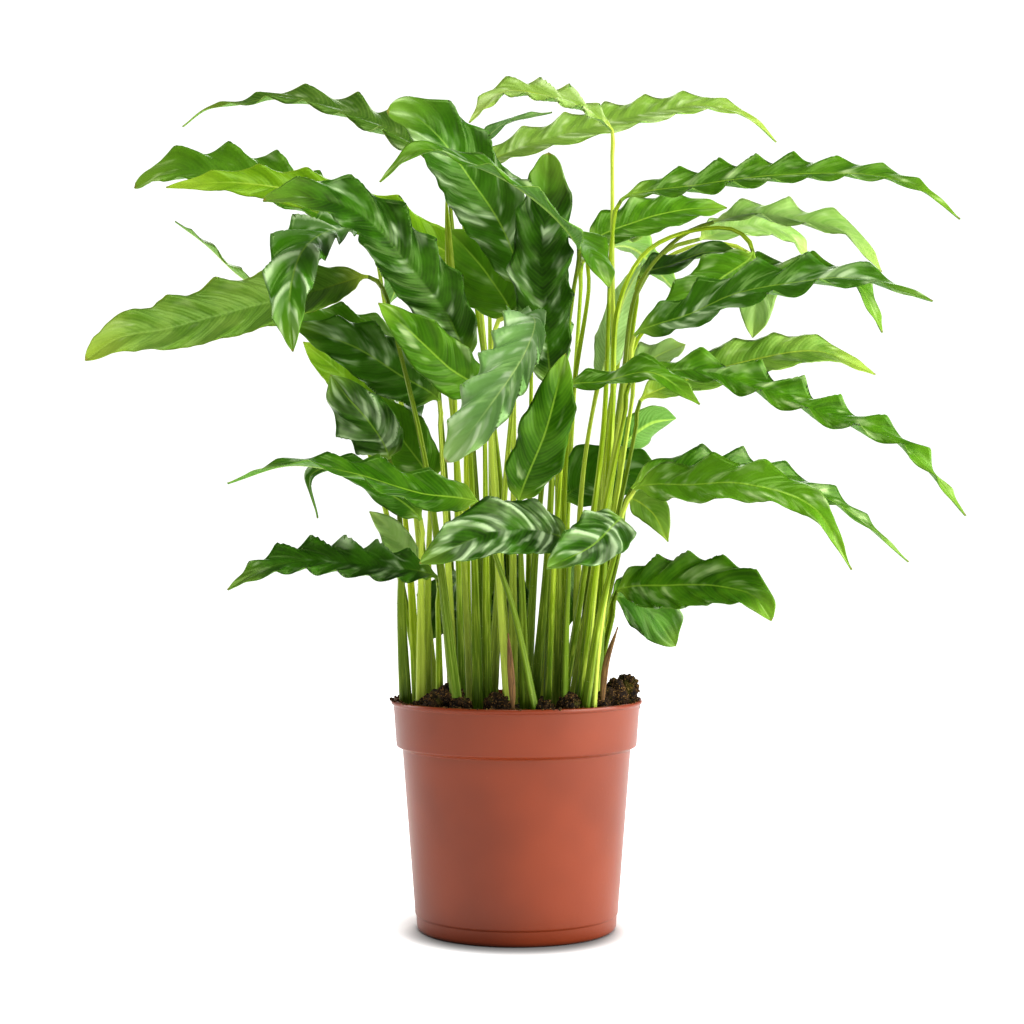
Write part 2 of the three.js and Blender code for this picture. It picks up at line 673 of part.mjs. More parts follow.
// Six points round a blade at u: both edges and the rib, above and below.
function bladeRing(leaf, u, waves) {
  const half = Math.max(leaf.half * outline(u), mix(LEAF.stalkTop, LEAF.tipHalfWidth, u));
  const rib = mix(LEAF.ribThickness, LEAF.ribTipThickness, u) / 2;
  const edge = LEAF.edgeThickness / 2;
  const keel = LEAF.keel * half / 2;
  const left = keel + wave(leaf, u, waves, -1);
  const right = keel + wave(leaf, u, waves, 1);
  return [
    [-half, left + edge], [0, rib - keel], [half, right + edge],
    [half, right - edge], [0, -rib - keel], [-half, left - edge],
  ];
}

// Six points round a rolled leaf.
function rollRing(shoot, u) {
  const r = Math.max(shoot.half * outline(u), mix(LEAF.stalkTop, LEAF.tipHalfWidth, u));
  return hexagon(r);
}

// Skin over rings of six points, closed at both ends. Top and bottom faces are split along the same lines.
function skin(count) {
  const index = [];
  for (let i = 0; i + 1 < count; i += 1) {
    for (let k = 0; k < 6; k += 1) {
      const a = i * 6 + k;
      const d = i * 6 + (k + 1) % 6;
      const b = a + 6;
      const c = d + 6;
      if (k < 3) index.push(a, d, b, d, c, b);
      else index.push(a, c, b, a, d, c);
    }
  }
  const end = (count - 1) * 6;
  [[0, 5, 1], [1, 5, 4], [1, 4, 2], [2, 4, 3]].forEach(([p, q, r]) => {
    index.push(p, q, r, end + p, end + r, end + q);
  });
  return index;
}

// Which way the upper side looks at each station. The direction is carried along the line without spin,
// and is then turned evenly between base and tip, so that it meets the two ways that the table gives.
function upperSides(stem, stations, base) {
  const carried = [FRONT.clone().projectOnPlane(stations[0].along).normalize()];
  for (let i = 1; i < stations.length; i += 1) {
    const turn = new THREE.Quaternion().setFromUnitVectors(stations[i - 1].along, stations[i].along);
    carried.push(carried[i - 1].clone().applyQuaternion(turn));
  }
  const spinTo = (i, face) => {
    const wanted = toVector(face).projectOnPlane(stations[i].along).normalize();
    const sine = carried[i].clone().cross(wanted).dot(stations[i].along);
    return Math.atan2(sine, carried[i].dot(wanted));
  };
  const first = spinTo(base, stem.faces[0]);
  const last = spinTo(stations.length - 1, stem.faces[1]);
  const spin = THREE.MathUtils.euclideanModulo(last - first + Math.PI, 2 * Math.PI) - Math.PI;
  return carried.map((up, i) => up.applyAxisAngle(stations[i].along, first + spin * stations[i].u));
}

// A stem and its blade in one skin.
function buildStem(stem, headRing, roughness) {
  const line = stemLine(stem);
  const run = measure(line);
  const bladeLength = run.total - run.base;
  const stalkSteps = Math.max(3, Math.round(run.base / LEAF.stalkStep));
  const waves = Math.round(bladeLength / LEAF.wavePitch);
  const bladeSteps = waves * LEAF.stepsPerWave;
  const stations = [];
  const addStation = (length, u, ring) => {
    const t = run.shareAt(length);
    stations.push({ u, ring, centre: line.curve.getPoint(t), along: line.curve.getTangent(t) });
  };
  for (let i = 0; i < stalkSteps; i += 1) {
    const v = 1 - (1 - i / stalkSteps) ** LEAF.crowd;
    addStation(run.base * v, 0, stalkRing(v));
  }
  for (let i = 0; i <= bladeSteps; i += 1) {
    const u = i / bladeSteps;
    addStation(run.base + bladeLength * u, u, headRing(stem, u, waves));
  }
  const positions = [];
  upperSides(stem, stations, stalkSteps).forEach((up, i) => {
    const { ring, centre, along } = stations[i];
    const across = along.clone().cross(up);
    ring.forEach(([side, rise]) => {
      const place = centre.clone().addScaledVector(across, side).addScaledVector(up, rise);
      positions.push(place.x, place.y, place.z);
    });
  });
  return namedMesh(stem.name, positions, skin(stations.length), COLOURS[stem.tint], roughness);
}

const plant = new THREE.Group();
plant.name = 'potted_calathea';
plant.add(buildPot());
plant.add(buildSoil());
LEAVES.forEach((leaf) => plant.add(buildStem(leaf, bladeRing, 0.35)));
SHOOTS.forEach((shoot) => plant.add(buildStem(shoot, rollRing, 0.4)));
SHEATHS.forEach((sheath) => plant.add(buildStem(sheath, bladeRing, 0.8)));

export default plant;
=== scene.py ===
"""A velvet calathea in a moulded nursery pot, dressed for the render.

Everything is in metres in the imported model's frame: the origin is the centre of the pot's base, +Z is up
and the plant faces -Y. Plant sizes are written in millimetres and turned to metres once, when a mesh is
made.
"""
import logging
import math
from dataclasses import dataclass, field
from enum import Enum
from typing import Any, Sequence

import bpy
import numpy as np
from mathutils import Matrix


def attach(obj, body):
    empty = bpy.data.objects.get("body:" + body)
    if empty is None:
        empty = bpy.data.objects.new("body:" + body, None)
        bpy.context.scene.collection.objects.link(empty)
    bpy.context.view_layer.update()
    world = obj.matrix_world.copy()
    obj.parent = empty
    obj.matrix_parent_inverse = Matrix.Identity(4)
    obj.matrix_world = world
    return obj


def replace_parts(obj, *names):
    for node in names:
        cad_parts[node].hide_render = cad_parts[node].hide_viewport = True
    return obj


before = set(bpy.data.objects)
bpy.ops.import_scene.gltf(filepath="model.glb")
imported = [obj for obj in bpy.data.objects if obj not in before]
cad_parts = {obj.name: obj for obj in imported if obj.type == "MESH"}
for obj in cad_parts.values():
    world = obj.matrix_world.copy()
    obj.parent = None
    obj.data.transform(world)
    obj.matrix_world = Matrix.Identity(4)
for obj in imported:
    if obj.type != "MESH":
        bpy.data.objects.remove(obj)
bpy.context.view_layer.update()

log = logging.getLogger("calathea")
MM = 0.001
TURN = 2.0 * math.pi
FRONT = np.array((0.0, -1.0, 0.0))
UP = np.array((0.0, 0.0, 1.0))
Vec = tuple[float, float, float]


# Numbers, meshes and nodes used by every class.

def linear(code: str) -> tuple[float, float, float, float]:
    """Turns an sRGB hex colour into linear RGBA.

    Args:
        code: The colour as six hex digits.

    Returns:
        Red, green and blue on a linear scale, with an alpha of one.
    """
    parts = [int(code[i:i + 2], 16) / 255 for i in (0, 2, 4)]
    red, green, blue = (c / 12.92 if c <= 0.04045 else ((c + 0.055) / 1.055) ** 2.4 for c in parts)
    return red, green, blue, 1.0


def add_node(tree: Any, kind: str, settings: dict | None = None, links: dict | None = None) -> Any:
    """Adds one node with its settings and links.

    Args:
        tree: The node tree that gets the node.
        kind: The node's type name.
        settings: Properties by name, input values by input name or number, and a ramp's stops as "stops".
        links: What feeds each input, by input name or number: an output, or a node for its first output.

    Returns:
        The new node.
    """
    node = tree.nodes.new(kind)
    settings = settings or {}
    named = [key for key in settings if isinstance(key, str) and hasattr(node, key)]
    for key in named:
        setattr(node, key, settings[key])
    if "stops" in settings:
        ramp = node.color_ramp.elements
        for place, code in settings["stops"][2:]:
            ramp.new(place)
        for stop, (place, code) in zip(ramp, sorted(settings["stops"])):
            stop.position = place
            stop.color = linear(code)
    shown = [socket for socket in node.inputs if socket.enabled]
    for key, value in settings.items():
        if key not in named and key != "stops":
            (shown[key] if isinstance(key, int) else node.inputs[key]).default_value = value
    for key, source in (links or {}).items():
        if hasattr(source, "outputs"):
            source = next(socket for socket in source.outputs if socket.enabled)
        tree.links.new(source, shown[key] if isinstance(key, int) else node.inputs[key])
    return node


def unit(vectors: np.ndarray) -> np.ndarray:
    """Vectors divided by their length, one a row."""
    return vectors / np.linalg.norm(vectors, axis=-1, keepdims=True)


def smooth(share: np.ndarray | float) -> np.ndarray:
    """A share held to 0 to 1 and eased at both ends: 3 times its square less twice its cube."""
    held = np.clip(share, 0.0, 1.0)
    return held * held * (3.0 - 2.0 * held)


def lumps(points: np.ndarray, size: float, seed: int) -> np.ndarray:
    """Smooth lumpy noise: the mean of sine waves that cross the points in seeded directions.

    Args:
        points: Places, one a row, in millimetres.
        size: About the width of one lump in millimetres.
        seed: Picks the directions and phases.

    Returns:
        One value a point, mostly between -1 and 1.
    """
    waves = 14
    draw = np.random.default_rng(seed)
    ways = unit(draw.normal(size=(waves, points.shape[-1])))
    pace = math.pi / size * draw.uniform(0.6, 1.5, waves)
    phase = draw.uniform(0.0, TURN, waves)
    return np.sin(points @ (ways * pace[:, None]).T + phase).sum(axis=-1) * 1.6 / waves


def stacked(*parts: np.ndarray | float) -> np.ndarray:
    """Arrays spread to one shape and stacked along a new last axis."""
    return np.stack(np.broadcast_arrays(*parts), axis=-1)


def ball(angles: np.ndarray, around: int) -> np.ndarray:
    """Directions out of a ball: a ring at each angle from the top, then the top and the bottom.

    Args:
        angles: The rings' angles from the top, in radians.
        around: Points in a ring.

    Returns:
        Unit vectors, one a row.
    """
    down, turn = angles[:, None], TURN * np.arange(around) / around
    way = stacked(np.sin(down) * np.cos(turn), np.sin(down) * np.sin(turn), np.cos(down))
    return np.concatenate((way.reshape(-1, 3), (UP, -UP)))


def closed_faces(rings: int, around: int, turned: bool = False) -> tuple[np.ndarray, ...]:
    """Faces of a closed form: quads between its rings of points, and triangles at both ends to two poles
    that are numbered after the rings.

    Args:
        rings: How many rings there are.
        around: Points in a ring.
        turned: True for a form turned round an axis, whose rings run the other way from a swept one's.

    Returns:
        The wall, the start and the end: a face's point numbers a row, facing outwards.
    """
    row, turn = np.meshgrid(np.arange(rings - 1), np.arange(around), indexing="ij")
    here = row * around + turn
    beside = row * around + (turn + 1) % around
    wall = np.stack((here, here + around, beside + around, beside), axis=-1).reshape(-1, 4)
    ring = np.arange(around)
    after = (ring + 1) % around
    last = (rings - 1) * around
    start = stacked(ring, after, rings * around)
    end = stacked(after + last, ring + last, rings * around + 1)
    blocks = (wall, start, end)
    return tuple(block[:, ::-1] for block in blocks) if turned else blocks


@dataclass
class MeshParts:
    """Points, faces and per-point values that make up one mesh, gathered before it is made."""

    points: list[np.ndarray] = field(default_factory=list)
    faces: list[np.ndarray] = field(default_factory=list)
    finish: list[np.ndarray] = field(default_factory=list)
    veins: list[np.ndarray] = field(default_factory=list)
    growth: list[np.ndarray] = field(default_factory=list)

    def add(
        self,
        points: np.ndarray,
        faces: Sequence[np.ndarray],
        finish: Sequence[np.ndarray] | int = 0,
        veins: np.ndarray | None = None,
        growth: np.ndarray | None = None,
    ) -> "MeshParts":
        """Adds a closed form.

        Args:
            points: Places in millimetres, one a row.
            faces: Blocks of faces, whose numbers count from this form's first point.
            finish: A finish number for every face of each block, or one for all.
            veins: Two values a point, along and across the veins.
            growth: Four values a point: crest, which sets the painted gleams, tone, which is partly painted
                light and shade, share of the length and distance from the rib.

        Returns:
            These parts, for another form.
        """
        start = sum(len(block) for block in self.points)
        self.points.append(points)
        for index, block in enumerate(faces):
            self.faces.append(block + start)
            marks = finish if isinstance(finish, int) else finish[index]
            self.finish.append(np.broadcast_to(marks, len(block)))
        self.veins.append(np.zeros((len(points), 2)) if veins is None else veins)
        self.growth.append(np.zeros((len(points), 4)) if growth is None else growth)
        return self

    def make(self, name: str, finishes: Sequence[bpy.types.Material], slot: str) -> bpy.types.Object:
        """Makes the piece, smooth shaded, riding on the model.

        Args:
            name: The piece's name.
            finishes: Materials in the order of the finish numbers.
            slot: The record's material slot; not used.

        Returns:
            The new object, at the origin.
        """
        mesh = bpy.data.meshes.new(name)
        points = np.concatenate(self.points) * MM
        corners = np.concatenate([block.ravel() for block in self.faces])
        sizes = np.concatenate([np.full(len(block), block.shape[1]) for block in self.faces])
        mesh.vertices.add(len(points))
        mesh.vertices.foreach_set("co", points.astype(np.float32).ravel())
        mesh.loops.add(len(corners))
        mesh.loops.foreach_set("vertex_index", corners.astype(np.int32))
        mesh.polygons.add(len(sizes))
        mesh.polygons.foreach_set("loop_start", (np.cumsum(sizes) - sizes).astype(np.int32))
        mesh.polygons.foreach_set("material_index", np.concatenate(self.finish).astype(np.int32))
        mesh.update(calc_edges=True)
        mesh.polygons.foreach_set("use_smooth", np.ones(len(sizes), dtype=bool))
        vein_map = mesh.uv_layers.new(name="veins")
        vein_map.data.foreach_set("uv", np.concatenate(self.veins)[corners].astype(np.float32).ravel())
        growth = mesh.color_attributes.new("growth", "FLOAT_COLOR", "POINT")
        growth.data.foreach_set("color", np.concatenate(self.growth).astype(np.float32).ravel())
        for finish in finishes:
            mesh.materials.append(finish)
        mesh.validate()
        piece = bpy.data.objects.new(name, mesh)
        bpy.context.scene.collection.objects.link(piece)
        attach(piece, "root")
        log.info("%s: %d faces", name, len(sizes))
        return piece


# Finishes.

NOISE = "ShaderNodeTexNoise"
MATH = "ShaderNodeMath"
MIX = "ShaderNodeMix"
STEP = "ShaderNodeMapRange"
# A smooth step between two values, numbered 1 and 2, given as the values 3 and 4.
SOFT = {"interpolation_type": "SMOOTHSTEP", 3: 0.0, 4: 1.0}
# The product of inputs 0 and 1.
TIMES = {"operation": "MULTIPLY"}
# Two colours, numbered 1 and 2, mixed.
COLOURS = {"data_type": "RGBA"}


class Tint(Enum):
    """The five greens of the leaves, from the oldest to the youngest. The lighter ones are partly painted
    light: they stand for the light that shines through backlit leaves.
    """

    DEEP = "leaf_deep"
    GREEN = "leaf_green"
    FRESH = "leaf_fresh"
    PALE = "leaf_pale"
    LIME = "leaf_lime"


def start_tree(name: str) -> tuple[bpy.types.Material, Any]:
    """Starts a material.

    Args:
        name: The finish's name.

    Returns:
        The material and its empty node tree.
    """
    material = bpy.data.materials.new(name)
    material.use_nodes = True
    material.node_tree.nodes.clear()
    return material, material.node_tree


def end_tree(tree: Any, links: dict[str, Any], settings: dict[str, Any]) -> None:
    """Ends a material with its surface shader.

    Args:
        tree: The node tree.
        links: What feeds each of the shader's inputs, by name.
        settings: The shader's plain input values, by name.
    """
    shader = add_node(tree, "ShaderNodeBsdfPrincipled", settings, links)
    add_node(tree, "ShaderNodeOutputMaterial", links={"Surface": shader})


def grown_marks(tree: Any) -> tuple[Any, Any, Any, Any]:
    """Reads what every leaf's mesh carries.

    Args:
        tree: The node tree.

    Returns:
        The vein map, its two parts, the growth attribute and its three parts.
    """
    veins = add_node(tree, "ShaderNodeUVMap", {"uv_map": "veins"})
    vein = add_node(tree, "ShaderNodeSeparateXYZ", links={0: veins})
    grown = add_node(tree, "ShaderNodeAttribute", {"attribute_name": "growth"})
    mark = add_node(tree, "ShaderNodeSeparateColor", links={0: grown.outputs["Color"]})
    return veins, vein, grown, mark


@dataclass(frozen=True)
class LeafSkin:
    """Upper side of a grown leaf: a waxed skin with a short velvet nap over pleated veins. Its colour holds
    painted shade in the dark green creases and painted highlights, broad silver gleams, between them, and
    one fine pale rib."""

    name: str
    # Colour of the painted shade in the pleats' creases.
    shade: str
    body: str
    light: str
    # Colour of the painted gleams: highlights painted into the skin.
    painted_gleam: str
    rib: str
    margin: str
    roughness: float = 0.37
    painted_gleam_share: float = 0.78
    rib_share: float = 0.6
    nap: float = 0.02
    pleat_pitch: float = 7.5
    fine_pitch: float = 2.3
    painted_gleam_size: float = 15.0
    relief: float = 0.2
    # Painted shade: the deeper green that a negative tone mixes in.
    deep: str = "1E4A00"
    dry: str = "7A5A2A"

    def material(self) -> bpy.types.Material:
        """Builds it: pleats and veins follow the leaf's own vein map, in millimetres along, a share across.

        Returns:
            The material.
        """
        material, tree = start_tree(self.name)
        _, vein, grown, mark = grown_marks(tree)
        painted_shine, tone_and_painted_light, length = (mark.outputs[name] for name in ("Red", "Green", "Blue"))
        place = add_node(tree, "ShaderNodeTexCoord")
        cloud = add_node(tree, NOISE, {"Scale": 70.0, "Detail": 3.0}, {"Vector": place.outputs["Object"]})
        # The vein coordinate wanders a little, so that no two creases are alike.
        drift = add_node(tree, MATH, {"operation": "MULTIPLY_ADD", 1: 2.4, 2: -1.2}, {0: cloud})
        along = add_node(tree, MATH, {"operation": "ADD"}, {0: vein.outputs["X"], 1: drift})
        turn = add_node(tree, MATH, TIMES | {1: TURN / self.pleat_pitch}, {0: along})
        pleat = add_node(tree, MATH, {"operation": "SINE"}, {0: turn})
        turn = add_node(tree, MATH, TIMES | {1: TURN / self.fine_pitch}, {0: along})
        fine = add_node(tree, MATH, {"operation": "SINE"}, {0: turn})
        # Painted gleams: silver streaks painted into the colour as highlights, running with the veins, more
        # of them where more shine is painted. They are broad on a smooth leaf and kept to the crests on a
        # pleated one.
        x = add_node(tree, MATH, TIMES | {1: 1.0 / self.painted_gleam_size}, {0: along})
        z = add_node(tree, MATH, TIMES | {1: 40.0}, {0: tone_and_painted_light})
        streak = add_node(tree, "ShaderNodeCombineXYZ", links={"X": x, "Y": vein.outputs["Y"], "Z": z})
        patch = add_node(tree, NOISE, {"Scale": 1.3, "Detail": 2.0}, {"Vector": streak})
        patch = add_node(tree, MATH, {"operation": "MULTIPLY_ADD", 1: 0.1}, {0: painted_shine, 2: patch})
        patch = add_node(tree, STEP, SOFT | {1: 0.58, 2: 0.78}, {0: patch})
        crest = add_node(tree, STEP, SOFT | {1: -0.7, 2: 1.0}, {0: pleat})
        least = add_node(tree, STEP, SOFT | {1: 0.6, 2: 2.0, 3: 0.5, 4: 0.2}, {0: painted_shine})
        crest = add_node(tree, MATH, {"operation": "MAXIMUM"}, {0: crest, 1: least})
        crest = add_node(tree, MATH, TIMES, {0: crest, 1: patch})
        painted_gleam = add_node(tree, MATH, TIMES | {"use_clamp": True, 1: self.painted_gleam_share}, {0: crest})
        # The rib is a fine line that fades before the tip.
        away = add_node(tree, MATH, {"operation": "ABSOLUTE"}, {0: vein.outputs["Y"]})
        line = SOFT | {1: 0.01, 2: 0.03, 3: self.rib_share, 4: 0.0}
        rib = add_node(tree, STEP, line, {0: grown.outputs["Alpha"]})
        ending = add_node(tree, STEP, SOFT | {1: 0.6, 2: 0.95, 3: 1.0, 4: 0.0}, {0: length})
        rib = add_node(tree, MATH, TIMES, {0: rib, 1: ending})
        # Colours from the lowest up: painted shade in the creases, a lighter cloud, the leaf's tone, which
        # is paler above nought and deeper below it and partly paints light and shade, threads of vein,
        # painted gleams, a pale margin, the rib, and a pale base and tip with a dry point.
        share = add_node(tree, STEP, SOFT | {1: -1.1, 2: -0.2, 3: 0.5}, {0: pleat})
        creased = COLOURS | {1: linear(self.shade), 2: linear(self.body)}
        colour = add_node(tree, MIX, creased, {0: share})
        for kind, settings, source, code in (
            (STEP, SOFT | {1: 0.42, 2: 0.68, 4: 0.5}, cloud, self.light),
            (MATH, TIMES | {1: 0.4}, tone_and_painted_light, self.light),
            (MATH, TIMES | {1: -0.7}, tone_and_painted_light, self.deep),
            (STEP, SOFT | {1: -0.2, 2: 1.0, 4: 0.16}, fine, self.light),
            (MATH, TIMES | {1: 1.0}, painted_gleam, self.painted_gleam),
            (STEP, SOFT | {1: 0.955, 2: 1.0, 4: 0.6}, away, self.margin),
            (MATH, TIMES | {1: 1.0}, rib, self.rib),
            (STEP, SOFT | {1: 0.0, 2: 0.12, 3: 0.7, 4: 0.0}, length, self.rib),
            (STEP, SOFT | {1: 0.75, 2: 1.0, 4: 0.4}, length, self.rib),
            (STEP, SOFT | {1: 0.985, 2: 1.0, 4: 0.7}, length, self.dry),
        ):
            share = add_node(tree, kind, settings, {0: source})
            colour = add_node(tree, MIX, COLOURS | {2: linear(code)}, {0: share, 1: colour})
        height = add_node(tree, MATH, {"operation": "MULTIPLY_ADD", 1: 0.3}, {0: fine, 2: pleat})
        height = add_node(tree, MATH, TIMES, {0: height, 1: ending})
        relief = {"Strength": 0.35, "Distance": self.relief * MM}
        bump = add_node(tree, "ShaderNodeBump", relief, {"Height": height})
        rough = {"operation": "MULTIPLY_ADD", 1: 0.16, 2: self.roughness - 0.08}
        dull = add_node(tree, MATH, rough, {0: cloud})
        end_tree(tree, {"Base Color": colour, "Normal": bump, "Roughness": dull}, {
            "IOR": 1.45, "Specular Tint": (0.72, 1.0, 0.35, 1.0), "Sheen Weight": self.nap,
            "Sheen Roughness": 0.4, "Sheen Tint": linear("DCE8D0"),
        })
        return material


@dataclass(frozen=True)
class LeafUnderside:
    """Underside of a leaf: matt, pale and downy, with a raised rib. It gives the eye a dull grey-green that
    catches light without a gleam."""

    name: str
    body: str
    light: str
    rib: str
    roughness: float = 0.55
    vein_pitch: float = 2.6

    def material(self) -> bpy.types.Material:
        """Builds it.

        Returns:
            The material.
        """
        material, tree = start_tree(self.name)
        _, vein, _, mark = grown_marks(tree)
        place = add_node(tree, "ShaderNodeTexCoord")
        cloud = add_node(tree, NOISE, {"Scale": 90.0, "Detail": 3.0}, {"Vector": place.outputs["Object"]})
        drift = {"operation": "MULTIPLY_ADD", 1: 4.0}
        along = add_node(tree, MATH, drift, {0: cloud, 2: vein.outputs["X"]})
        turn = add_node(tree, MATH, TIMES | {1: TURN / self.vein_pitch}, {0: along})
        line = add_node(tree, MATH, {"operation": "SINE"}, {0: turn})
        away = add_node(tree, MATH, {"operation": "ABSOLUTE"}, {0: vein.outputs["Y"]})
        # Colours from the lowest up: pale veins, the leaf's tone, which partly paints light and shade, the
        # rib and the margin.
        share = add_node(tree, STEP, SOFT | {1: -0.4, 2: 1.0, 3: 0.3, 4: 0.6}, {0: line})
        colour = add_node(tree, MIX, COLOURS | {1: linear(self.body), 2: linear(self.light)}, {0: share})
        for kind, settings, source, code in (
            (MATH, TIMES | {1: 0.4}, mark.outputs["Green"], self.light),
            (STEP, SOFT | {1: 0.04, 2: 0.12, 3: 0.9, 4: 0.0}, away, self.rib),
            (STEP, SOFT | {1: 0.93, 2: 1.0, 4: 0.5}, away, self.rib),
        ):
            share = add_node(tree, kind, settings, {0: source})
            colour = add_node(tree, MIX, COLOURS | {2: linear(code)}, {0: share, 1: colour})
        bump = add_node(tree, "ShaderNodeBump", {"Strength": 0.3, "Distance": 0.2 * MM}, {"Height": line})
        end_tree(tree, {"Base Color": colour, "Normal": bump}, {
            "Roughness": self.roughness, "IOR": 1.42, "Specular Tint": (0.75, 1.0, 0.45, 1.0),
            "Sheen Weight": 0.15, "Sheen Roughness": 0.5, "Sheen Tint": linear("EEF3E2"),
        })
        return material


@dataclass(frozen=True)
class StalkSkin:
    """Skin of a leaf stalk: smooth, fleshy and slightly waxy. It gives the eye a bright yellow-green stem
    with fine streaks, deeper green towards a faintly pink foot, here and there a creamy or olive one. The
    light streaks are partly painted highlights; the deep streaks, the deeper green low down and the olive
    stalks are partly painted shade between the stalks."""

    name: str
    foot: str
    low: str
    high: str
    streak: str
    cream: str = "C6D45E"
    olive: str = "425C08"
    roughness: float = 0.36

    def material(self) -> bpy.types.Material:
        """Builds it: the colour follows the height above the peat and streaks follow the stalk.

        Returns:
            The material.
        """
        material, tree = start_tree(self.name)
        _, vein, _, mark = grown_marks(tree)
        tone_and_painted_light = mark.outputs["Green"]
        # Deeper green low on the stalk, partly painted shade where the stalks crowd.
        stops = ((0.0, self.foot), (1.0, self.high), (0.09, self.low), (0.5, self.high))
        colour = add_node(tree, "ShaderNodeValToRGB", {"stops": stops}, {0: mark.outputs["Blue"]})
        x = add_node(tree, MATH, TIMES | {1: 0.03}, {0: vein.outputs["X"]})
        y = add_node(tree, MATH, TIMES | {1: 3.0}, {0: vein.outputs["Y"]})
        z = add_node(tree, MATH, TIMES | {1: 9.0}, {0: tone_and_painted_light})
        across = add_node(tree, "ShaderNodeCombineXYZ", links={"X": x, "Y": y, "Z": z})
        grain = add_node(tree, NOISE, {"Scale": 2.0, "Detail": 3.0}, {"Vector": across})
        # Colours from the lowest up: light and deep streaks, partly painted highlights and painted shade,
        # and the odd creamy or olive stalk, the olive ones partly painted shade.
        for span, source, code in (
            ({1: 0.48, 2: 0.7, 4: 0.8}, grain, self.streak),
            ({1: 0.25, 2: 0.5, 3: 0.7, 4: 0.0}, grain, self.low),
            ({1: 0.6, 2: 1.0, 4: 0.6}, tone_and_painted_light, self.cream),
            ({1: 0.0, 2: 0.4, 3: 0.7, 4: 0.0}, tone_and_painted_light, self.olive),
        ):
            share = add_node(tree, STEP, SOFT | span, {0: source})
            colour = add_node(tree, MIX, COLOURS | {2: linear(code)}, {0: share, 1: colour})
        bump = add_node(tree, "ShaderNodeBump", {"Strength": 0.3, "Distance": 0.3 * MM}, {"Height": grain})
        waxy = {"Roughness": self.roughness, "IOR": 1.45, "Specular Tint": (0.85, 1.0, 0.4, 1.0)}
        end_tree(tree, {"Base Color": colour, "Normal": bump}, waxy)
        return material


@dataclass(frozen=True)
class Down:
    """Velvet hairs: clear pale cells. They give the eye a faint bright edge on stalks and undersides."""

    name: str = "velvet_down"
    colour: str = "C4D493"
    shade: str = "9DB566"

    def material(self) -> bpy.types.Material:
        """Builds it.

        Returns:
            The material.
        """
        material, tree = start_tree(self.name)
        place = add_node(tree, "ShaderNodeTexCoord")
        cloud = add_node(tree, NOISE, {"Scale": 200.0}, {"Vector": place.outputs["Object"]})
        colours = COLOURS | {1: linear(self.colour), 2: linear(self.shade)}
        colour = add_node(tree, MIX, colours, {0: cloud})
        end_tree(tree, {"Base Color": colour}, {"Roughness": 0.6})
        return material


@dataclass(frozen=True)
class MouldedPlastic:
    """Terracotta polypropylene, injection moulded: a satin skin with a faint flow cloud, hair scratches and
    chalky scuffs. It gives the eye a soft broad highlight over a warm orange-brown."""

    name: str = "terracotta_polypropylene"
    body: str = "863813"
    deep: str = "7A310E"
    chalk: str = "BE7654"
    roughness: float = 0.31

    def material(self) -> bpy.types.Material:
        """Builds it.

        Returns:
            The material.
        """
        material, tree = start_tree(self.name)
        place = add_node(tree, "ShaderNodeTexCoord")
        spot = {"Vector": place.outputs["Object"]}
        cloud = add_node(tree, NOISE, {"Scale": 22.0, "Detail": 2.0}, spot)
        share = add_node(tree, STEP, SOFT | {1: 0.3, 2: 0.7}, {0: cloud})
        colour = add_node(tree, MIX, COLOURS | {1: linear(self.deep), 2: linear(self.body)}, {0: share})
        # Hair scratches about 0.15 mm wide, drawn at 0.5 mm so that they show, and chalky dust.
        stretch = add_node(tree, "ShaderNodeMapping", {"Scale": (60.0, 60.0, 900.0)}, spot)
        scratch = add_node(tree, NOISE, {"Scale": 1.0, "Detail": 2.0}, {"Vector": stretch})
        worn = add_node(tree, STEP, SOFT | {1: 0.74, 2: 0.84, 4: 0.3}, {0: scratch})
        kept = add_node(tree, STEP, SOFT | {1: 0.5, 2: 0.66}, {0: cloud})
        worn = add_node(tree, MATH, TIMES, {0: worn, 1: kept})
        dust = add_node(tree, NOISE, {"Scale": 480.0, "Detail": 2.0}, spot)
        dusty = add_node(tree, STEP, SOFT | {1: 0.74, 2: 0.86, 4: 0.3}, {0: dust})
        for share in (worn, dusty):
            colour = add_node(tree, MIX, COLOURS | {2: linear(self.chalk)}, {0: share, 1: colour})
        bump = add_node(tree, "ShaderNodeBump", {"Strength": 0.12, "Distance": 0.2 * MM}, {"Height": dust})
        rough = {"operation": "MULTIPLY_ADD", 1: 0.05, 2: self.roughness - 0.025}
        dull = add_node(tree, MATH, rough, {0: cloud})
        end_tree(tree, {"Base Color": colour, "Normal": bump, "Roughness": dull}, {"IOR": 1.49})
        return material


